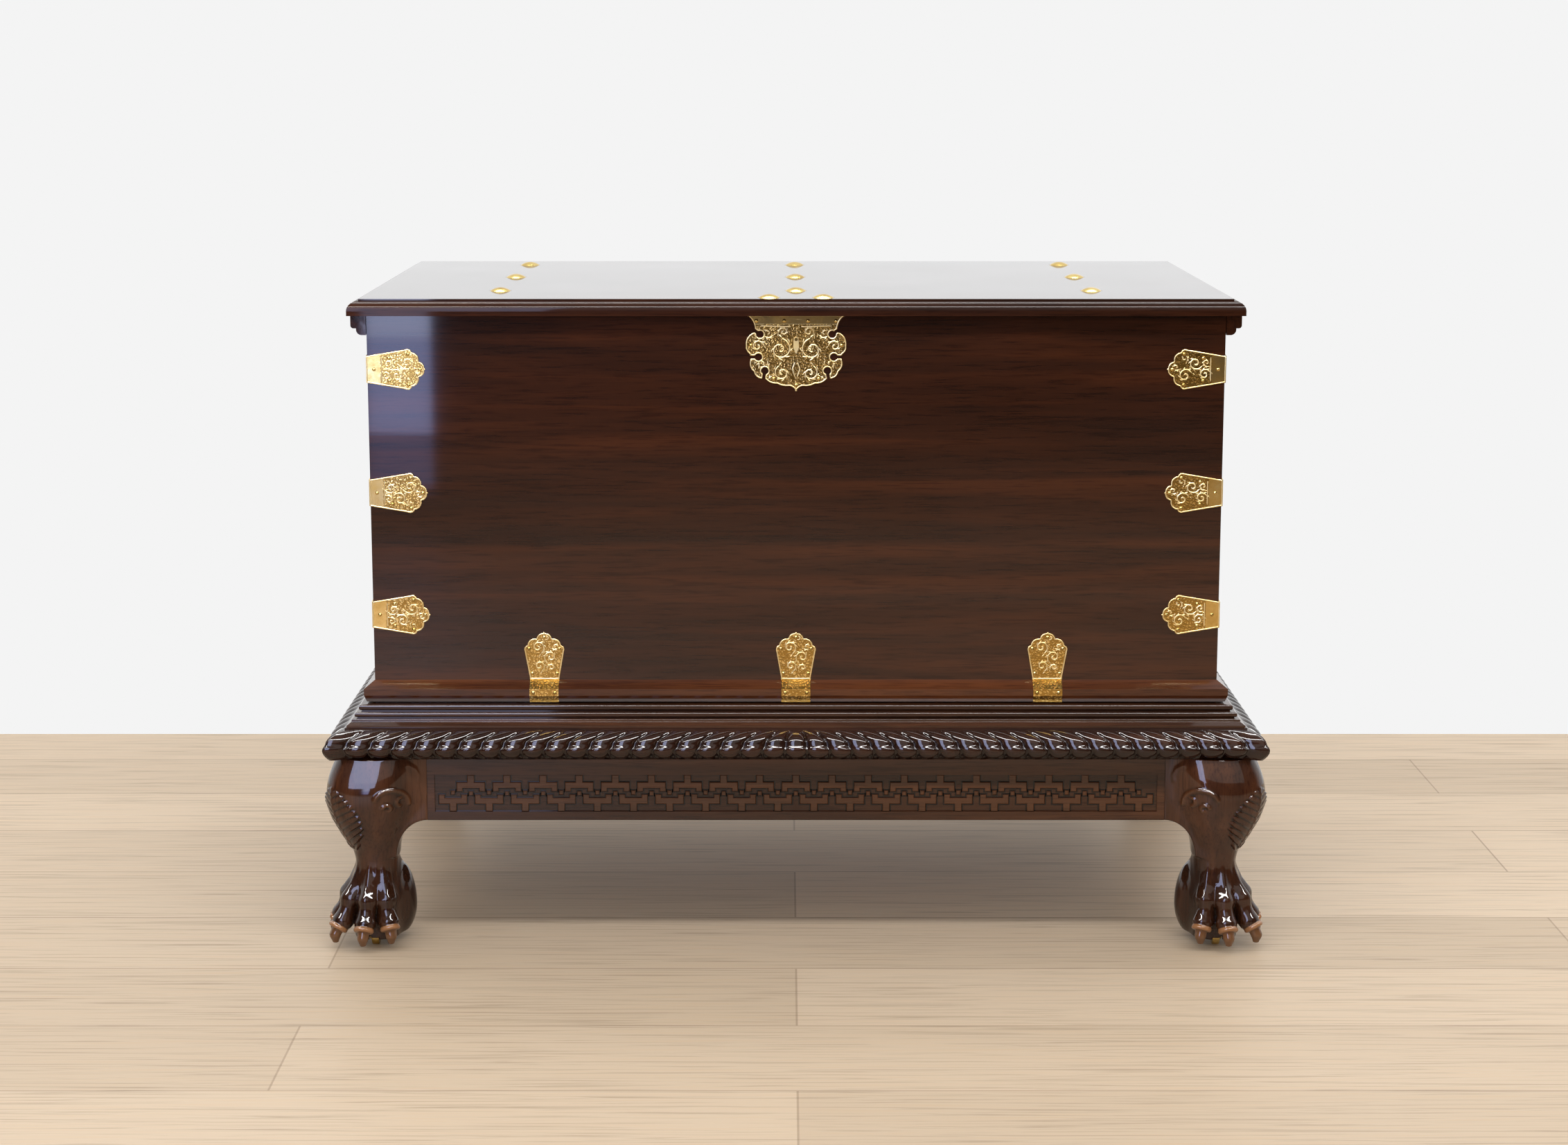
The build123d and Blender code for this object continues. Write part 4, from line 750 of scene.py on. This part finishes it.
# --- Fret on the aprons ---
# Each apron's sunk panel is carved with a low key fret: hooked tees that hang from its top edge, and the same
# standing from its foot between them, with a small square in each hook. It is cut from the apron itself.
panel_low, panel_high = 169.5, 215.0
panel_half = {"X": 435.0, "Y": 205.0}
# how far the sunk floor, the ledge round each bar (painted dark with shade and dirt) and the bar's top stand
# out from the case
fret_floor, fret_ledge, fret_top = 20.6, 21.16, 23.3
fret_bevel, fret_line, fret_pitch, fret_margin = 0.9, 1.5, 43.5, 18.0
# half of one tee about its own middle: distance aside, and distance from the edge that it grows from
tee_half = ((4.4, 0.0), (4.4, 9.0), (17.2, 9.0), (17.2, 21.0), (9.8, 21.0), (9.8, 17.0))
tee = list(tee_half) + [(-aside, drop) for aside, drop in reversed(tee_half)]
square = [(2.6, 20.4), (2.6, 26.0), (-2.6, 26.0), (-2.6, 20.4)]


def carved_bars(name, outlines_mm, half_width, from_middle, turn):
    """Flat-topped bars with a small bevel, drawn along X and outwards to Y, then turned to their side."""
    points, faces, shade = [], [], []
    # the sunk ground lies 0.3 mm inside the edges of the panel
    edge, foot, top = half_width - 0.3, panel_low + 0.3, panel_high - 0.3
    ground = [(-edge, foot), (edge, foot), (edge, top), (-edge, top)]
    for outline in [ground] + outlines_mm:
        ring = np.array(outline)
        if np.sum(ring[:, 0] * np.roll(ring[:, 1], -1) - np.roll(ring[:, 0], -1) * ring[:, 1]) < 0:
            ring = ring[::-1]
        before, after = ring - np.roll(ring, 1, axis=0), np.roll(ring, -1, axis=0) - ring
        inset = np.zeros_like(ring)
        for way in (before, after):
            way = way / np.hypot(*way.T)[:, None]
            inset += np.stack([-way[:, 1], way[:, 0]], -1)
        # the levels of a bar outwards, how far its outline is drawn in there, and how dark it is: painted
        # shade and dirt, darkest on the ledge round the bar, lighter up its sides, and less dark on the sunk
        # ground
        levels = ((fret_floor, 0.0, 0.3), (fret_floor + 0.4, 0.0, 0.3), (fret_floor + 0.5, 0.1, 0.3))
        if outline is not ground:
            levels = ((fret_floor, -fret_line, 0.95), (fret_ledge, -fret_line, 0.95), (fret_ledge, 0.0, 0.95),
                      (fret_top - fret_bevel, 0.0, 0.35), (fret_top, fret_bevel, 0.0))
        first, count = len(points), len(ring)
        for out, drawn_in, tone in levels:
            points += [(x / 1000, from_middle + out / 1000, z / 1000) for x, z in ring + drawn_in * inset]
            shade += [tone] * count
        for level in range(len(levels) - 1):
            for i in range(count):
                j = (i + 1) % count
                low, high = first + level * count, first + (level + 1) * count
                faces.append((low + i, high + i, high + j, low + j))
        faces.append([first + (len(levels) - 1) * count + i for i in range(count)][::-1])
    mesh = bpy.data.meshes.new(name)
    mesh.from_pydata(turned_to(points, turn).tolist(), [], faces)
    shade = np.array(shade)
    mark_points(mesh, "dirt_and_painted_shade", shade)
    mark_points(mesh, "worn", 0.05 * (shade == 0))
    return mesh


for side, half_length, from_middle, turn, along in sides:
    half_width = panel_half[along]
    count = int(half_width / fret_pitch)
    drawn = []
    for step in range(-count, count + 1):
        for shift, edge, way in ((0.0, panel_high, -1), (fret_pitch / 2, panel_low, 1)):
            middle = step * fret_pitch + shift
            if abs(middle) + fret_margin < half_width:
                for outline in (tee, square):
                    drawn.append([(middle + aside, edge + way * drop) for aside, drop in outline])
    mesh = carved_bars(f"carved_fret_{side}", drawn, half_width, from_middle, turn)
    place_piece(mesh, rail_wood[along], "chest")

# --- Legs ---
# Four short cabriole legs carved from the solid: a swelling knee with a leaf on its corner and a scroll on
# each face, brackets that meet the aprons, and a lion's paw with four toes, worn bare round the claws.
leg_wood = lacquered("polished_rosewood_legs", "Z", ("#30190D", "#3E2213", "#4E2D1A"), 0.06)
leg_sections = (
    # height, inner and outer reach from the corner of the case in millimetres, and how square it is
    (8.0, -24.0, 30.0, 2.4),
    (30.0, -27.0, 33.0, 2.4),
    (60.0, -27.0, 31.0, 2.4),
    (84.0, -24.5, 28.5, 2.4),
    (106.0, -24.0, 27.5, 2.5),
    (122.0, -25.5, 31.0, 2.6),
    (142.0, -29.0, 42.0, 2.7),
    (164.0, -34.0, 53.0, 2.6),
    (184.0, -38.0, 58.8, 2.6),
    (198.0, -40.0, 58.8, 2.8),
    (210.0, -41.0, 56.6, 3.1),
    (220.0, -41.0, 53.4, 3.3),
    (230.0, -40.0, 49.0, 3.3),
    (241.0, -39.0, 43.5, 3.3),
)
# the middle of a paw outwards from the corner of the case, and the height that the brackets come down to
paw_middle, bracket_foot = 4.0, 113
# each toe: its heading, from straight ahead towards the side, and how far its claw reaches
toes = ((-30.0, 45.0), (12.0, 50.0), (54.0, 57.0), (96.0, 53.0))
# a toe's middle line: how far out and how high, from the ankle over the knuckles to the claw's tip
toe_line = ((14, 100), (21, 83), (31.5, 61), (36, 47.5), (40.5, 36), (45, 31), (50, 20), (49.5, 10.8))
voxel = 1.2


def egg(points, centre, radii):
    """Roughly the distance from an egg shape."""
    return (np.sqrt(sum(((p - c) / r) ** 2 for p, c, r in zip(points, centre, radii))) - 1) * min(radii)


def limb(points, start, end, start_radius, end_radius):
    """Distance from a tapering round limb."""
    start, end = np.array(start, np.float32), np.array(end, np.float32)
    way = end - start
    part = np.clip(sum((p - s) * w for p, s, w in zip(points, start, way)) / float(way @ way), 0, 1)
    gap = np.sqrt(sum((p - s - part * w) ** 2 for p, s, w in zip(points, start, way)))
    return gap - (start_radius + (end_radius - start_radius) * part)


def merge(first, second, soft):
    """The two shapes as one, with a fillet of about that size between them."""
    part = np.clip(0.5 + 0.5 * (second - first) / soft, 0, 1)
    return second * (1 - part) + first * part - soft * part * (1 - part)


def skin_of(field, origin, step):
    """The zero surface of a field of distances, as points and quads, by surface nets."""
    inside = field < 0
    corners = [(i, j, k) for i in (0, 1) for j in (0, 1) for k in (0, 1)]
    shape = tuple(n - 1 for n in field.shape)
    held = np.zeros(shape, np.int8)
    for i, j, k in corners:
        held += inside[i:i + shape[0], j:j + shape[1], k:k + shape[2]]
    cell = (held > 0) & (held < 8)
    where = np.argwhere(cell)
    number = np.full(shape, -1, np.int64)
    number[cell] = np.arange(len(where))
    total = np.zeros((len(where), 3))
    hits = np.zeros(len(where))
    for corner in corners:
        for axis in range(3):
            if corner[axis]:
                continue
            other = list(corner)
            other[axis] = 1
            first = field[tuple((where + corner).T)]
            second = field[tuple((where + other).T)]
            cross = (first < 0) != (second < 0)
            part = np.where(cross, first / np.where(cross, first - second, 1), 0)
            spot = np.repeat(np.array([corner], float), len(where), 0)
            spot[:, axis] = part
            total += spot * cross[:, None]
            hits += cross
    points = origin + step * (where + total / hits[:, None])
    quads = []
    for axis in range(3):
        b, c = (axis + 1) % 3, (axis + 2) % 3
        low = [slice(None)] * 3
        high = [slice(None)] * 3
        low[axis], high[axis] = slice(0, -1), slice(1, None)
        change = np.argwhere(inside[tuple(low)] != inside[tuple(high)])
        across = change[:, [b, c]]
        change = change[np.all((across > 0) & (across < (shape[b], shape[c])), axis=1)]
        step_b, step_c = np.eye(3, dtype=int)[b], np.eye(3, dtype=int)[c]
        ring = [number[tuple((change - take).T)] for take in (step_b + step_c, step_c, step_b * 0, step_b)]
        quad = np.stack(ring, -1)
        outward = inside[tuple(change.T)]
        quads.append(np.where(outward[:, None], quad, quad[:, ::-1]))
    return points, np.concatenate(quads)


def paw(points):
    """The paw without its core: distances from its flesh, its claws and the worn rims round them."""
    # the heel is a drop that runs up into the ankle
    heel = (points[0], points[1], np.where(points[2] > 44, 44 + 0.74 * (points[2] - 44), points[2]))
    flesh = egg(heel, (-17.5, -14.5, 44.0), (25.0, 25.0, 41.0))
    claws, rims = None, None
    for heading, tip in toes:
        out_u, out_v = math.sin(math.radians(heading)), math.cos(math.radians(heading))
        spots = []
        for reach, height in toe_line:
            reach = 14 + (reach - 14) * (tip - 14) / 36
            spots.append((paw_middle + reach * out_u, paw_middle + reach * out_v, height))
        toe = limb(points, spots[0], spots[1], 5.5, 8.0)
        for step, above, below, soft in ((1, 8.0, 12.2, 4.0), (2, 11.0, 9.2, 3.0), (3, 9.2, 13.0, 3.0)):
            toe = merge(toe, limb(points, spots[step], spots[step + 1], above, below), soft)
        flesh = merge(flesh, toe, 1.6)
        claw = limb(points, spots[5], spots[6], 8.0, 6.6)
        claw = merge(claw, limb(points, spots[6], spots[7], 6.4, 3.8), 2.0)
        claws = claw if claws is None else np.minimum(claws, claw)
        # the rim is a ring round the claw, square to it, where the sheath ends
        way = np.array(spots[6]) - np.array(spots[4])
        way = way / np.linalg.norm(way)
        ring = np.array(spots[5]) + 3.0 * way
        level = sum((p - c) * w for p, c, w in zip(points, ring, way))
        span = np.sqrt(np.maximum(sum((p - c) ** 2 for p, c in zip(points, ring)) - level ** 2, 0))
        rim = np.sqrt((span - 9.6) ** 2 + level ** 2) - 2.8
        rims = rim if rims is None else np.minimum(rims, rim)
    return flesh, claws, rims


def rounded_curve(heights, values, z):
    """The sections' values at any height, with the corners between them eased over about 20 mm."""
    fine = np.arange(heights[0] - 10, heights[-1] + 10, 0.5)
    bell = np.hanning(41)
    padded = np.pad(np.interp(fine, heights, values), 20, mode="edge")
    return np.interp(z, fine, np.convolve(padded, bell / bell.sum(), mode="valid")).astype(np.float32)


def leg_field(points):
    """Distances from the whole leg, in millimetres outwards along both faces and up."""
    u, v, z = points
    heights = [row[0] for row in leg_sections]
    inner, outer, power = (rounded_curve(heights, [row[i] for row in leg_sections], z) for i in (1, 2, 3))
    middle, half = (inner + outer) / 2, (outer - inner) / 2
    shaft = np.abs((u - middle) / half) ** power + np.abs((v - middle) / half) ** power
    shaft = (shaft ** (1 / power) - 1) * half
    for side, face in ((u, v), (v, u)):
        arch = 42.0 * (1 - np.hypot((side + 63) / 38.5, (z - bracket_foot) / 46.0))
        bracket = np.maximum.reduce([arch, bracket_foot - z, face - 25.5, -18 - face, -75 - side, side - 2])
        # a wide fillet beside the knee, and a small one where the arch springs
        shaft = merge(shaft, bracket, np.interp(z, (148, 186), (5.0, 30.0)).astype(np.float32))
    flesh, claws, rims = paw(points)
    whole = merge(shaft, flesh, 9.0)
    whole = merge(whole, rims, 1.2)
    whole = np.minimum(whole, claws)
    recess = np.maximum(np.hypot(u - paw_middle, v - paw_middle) - 26.0, z - 33.0)
    socket = np.maximum(np.hypot(u - paw_middle, v - paw_middle) - 5.7, z - 49.5)
    whole = np.maximum.reduce([whole, -recess, -socket, z - 239.0, 10.2 - z, -63.0 - u, -63.0 - v])
    return whole


def stroke(u, z, line, width):
    """How near a point on a face is to a drawn line: 1 on it and 0 past its width."""
    near = np.full(u.shape, 1e9)
    for (u0, z0), (u1, z1) in zip(line[:-1], line[1:]):
        way_u, way_z = u1 - u0, z1 - z0
        part = np.clip(((u - u0) * way_u + (z - z0) * way_z) / (way_u ** 2 + way_z ** 2), 0, 1)
        near = np.minimum(near, np.hypot(u - u0 - part * way_u, z - z0 - part * way_z))
    return np.exp(-(near / width) ** 2)


def knee_carving(u, v, z, facing_u, facing_v):
    """How far the carving stands out of the plain leg, how dark its hollows are with dirt and painted shade,
    and where it is rubbed, lightened as wear and painted highlight.
    """
    raised = np.zeros(u.shape)
    sunk = np.zeros(u.shape)
    rubbed = np.zeros(u.shape)
    # leaf on the outer corner: a middle rib, and fronds that sweep up and out of it
    around = (np.arctan2(u - 8, v - 8) - math.pi / 4) * 44
    side = np.abs(around)
    leaf_foot, leaf_length, leaf_half_width = 120, 88, 33
    up = z - leaf_foot
    width = leaf_half_width * np.sin(np.pi * np.clip(up / leaf_length, 0, 1) ** 0.85) ** 0.8
    frond = (up - 0.62 * side) / 8.6
    ripple = np.abs(frond - np.round(frond)) * 2
    edge = width * (0.80 + 0.20 * (1 - ripple))
    inside = smooth(0, 2.5, edge - side) * smooth(0, 6, up) * smooth(0, 5, leaf_length - up)
    inside = inside * (u > 0) * (v > 0)
    rib = np.exp(-(side / 1.8) ** 2)
    curl = smooth(0.55, 0.95, side / np.maximum(edge, 1))
    raised += inside * (0.3 + 1.9 * (1 - ripple ** 2) * (0.6 + 0.6 * curl) + 0.8 * rib)
    # the grooves between the fronds are darkened: dirt and painted shade
    sunk += inside * ripple ** 3 * 0.8 * (1 - rib)
    # tendons run down the paw, two to a toe
    heading = np.degrees(np.arctan2(u - paw_middle, v - paw_middle))
    on_toes = smooth(-58, -44, heading) * smooth(124, 110, heading)
    tendon = 0.5 + 0.5 * np.cos(np.radians((heading - toes[1][0]) * 360 / 21))
    raised += 0.9 * (tendon - 0.5) * on_toes * smooth(48, 62, z) * smooth(108, 96, z)
    # a raised bow over a comma and a bud on each face, and a lip that curls inwards under the rail
    bow = [(-22 + 20 * math.cos(a), 184 + 19.5 * math.sin(a)) for a in np.radians(np.linspace(186, 24, 26))]
    comma = [(-19 + (6.0 - 3.5 * t) * math.cos(a), 180 + (6.0 - 3.5 * t) * math.sin(a))
             for t, a in zip(np.linspace(0, 1, 24), np.radians(np.linspace(20, 250, 24)))]
    bud = [(-34 + 4.5 * math.cos(a), 187 + 5.5 * math.sin(a)) for a in np.radians(np.linspace(-70, 90, 12))]
    lip = [(-42, 230), (-50, 224.5), (-54, 216), (-53, 209)]
    strokes = ((bow, 2.0), (comma, 2.1), (bud, 1.9), (lip, 2.2))
    for side_u, facing in ((u, facing_v), (v, facing_u)):
        front_on = smooth(0.30, 0.70, facing)
        marks = [stroke(side_u, z, line, width) for line, width in strokes]
        raised += front_on * (2.3 * marks[0] + 2.0 * marks[1] + 1.7 * marks[2] + 0.9 * marks[3])
        # the bow, comma and bud are lightened as rubbed: wear, and a painted highlight on their raised lines
        rubbed = np.maximum(rubbed, front_on * np.maximum.reduce(marks[:3]))
        bowl = np.hypot((side_u + 22) / 18.5, (z - 184) / 18.0)
        scooped = smooth(1.0, 0.7, bowl) * smooth(174, 186, z) * (1 - np.maximum(marks[1], marks[2]))
        raised -= front_on * 0.8 * scooped
    return raised, sunk, rubbed


reach_low, reach_high, level_low, level_high = -65.4, 62.0, 8.4, 241.2
axis_reach = np.arange(reach_low, reach_high, voxel, dtype=np.float32)
axis_level = np.arange(level_low, level_high, voxel, dtype=np.float32)
grid = np.meshgrid(axis_reach, axis_reach, axis_level, indexing="ij")
leg_points, leg_quads = skin_of(leg_field(grid), np.array([reach_low, reach_low, level_low]), voxel)
del grid
# even out the steps of the grid, but leave the joints to apron and rail flat
edges = np.concatenate([leg_quads[:, [a, b]] for a, b in ((0, 1), (1, 2), (2, 3), (3, 0))])
both_ways = np.concatenate([edges, edges[:, ::-1]])
fixed = (leg_points[:, 2] > 238) | (leg_points[:, 0] < -62) | (leg_points[:, 1] < -62)
ties = np.bincount(both_ways[:, 0], minlength=len(leg_points))


def neighbours_mean(values):
    """The mean of each point's neighbours, for rows of values."""
    sums = [np.bincount(both_ways[:, 0], row[both_ways[:, 1]], len(values)) for row in values.T]
    return np.stack(sums, -1) / ties[:, None]


for turn in range(2):
    eased = 0.5 * leg_points + 0.5 * neighbours_mean(leg_points)
    leg_points = np.where(fixed[:, None], leg_points, eased)


def facing_of(points, quads):
    """The outward direction at each point."""
    face = np.cross(points[quads[:, 2]] - points[quads[:, 0]], points[quads[:, 3]] - points[quads[:, 1]])
    total = [np.bincount(quads.reshape(-1), np.repeat(row, 4), len(points)) for row in face.T]
    total = np.stack(total, -1)
    return total / np.maximum(np.linalg.norm(total, axis=1), 1e-9)[:, None]


facing = facing_of(leg_points, leg_quads)
raised, sunk, rubbed = knee_carving(*leg_points.T, facing[:, 0], facing[:, 1])
leg_points = leg_points + facing * (raised * ~fixed)[:, None]
flesh_gap, claw_gap, rim_gap = paw(leg_points.T)
claw_share = smooth(1.2, 0.2, claw_gap) * smooth(-1.0, 0.5, flesh_gap)
rim_share = smooth(1.0, 0.2, rim_gap) * (1 - claw_share)
# creases between toes and under the knuckles, and the leaf's grooves, hold dark polish and painted shade; the
# whole paw below about 100 mm is darkened as well
toe_band = smooth(108, 92, leg_points[:, 2])
crease = np.sum((neighbours_mean(leg_points) - leg_points) * facing, axis=1, keepdims=True)
for turn in range(6):
    crease = 0.5 * crease + 0.5 * neighbours_mean(crease)
dirt_and_shade_share = np.clip(sunk + smooth(0.01, 0.09, crease[:, 0]), 0, 1) * 0.85
dirt_and_shade_share = np.maximum(dirt_and_shade_share, 0.35 * toe_band) * (1 - rim_share)
# claws and their rims are worn bare; the carving's raised lines are lightened a little, as wear and painted
# highlight
worn_share = np.clip(0.75 * rim_share + 0.32 * claw_share + 0.10 * rubbed, 0, 1)

for corner, across, along in (
    ("front_right", 1, -1), ("front_left", -1, -1), ("back_right", 1, 1), ("back_left", -1, 1)
):
    where = (leg_points / 1000 + (case_half_width, case_half_depth, 0)) * (across, along, 1)
    quads = leg_quads if across * along > 0 else leg_quads[:, ::-1]
    mesh = bpy.data.meshes.new(f"carved_leg_{corner}")
    mesh.from_pydata(where.tolist(), [], quads.tolist())
    mark_points(mesh, "dirt_and_painted_shade", dirt_and_shade_share)
    mark_points(mesh, "worn", worn_share)
    mesh.shade_smooth()
    leg = place_piece(mesh, leg_wood, "chest")
    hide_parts(f"leg_{corner}")
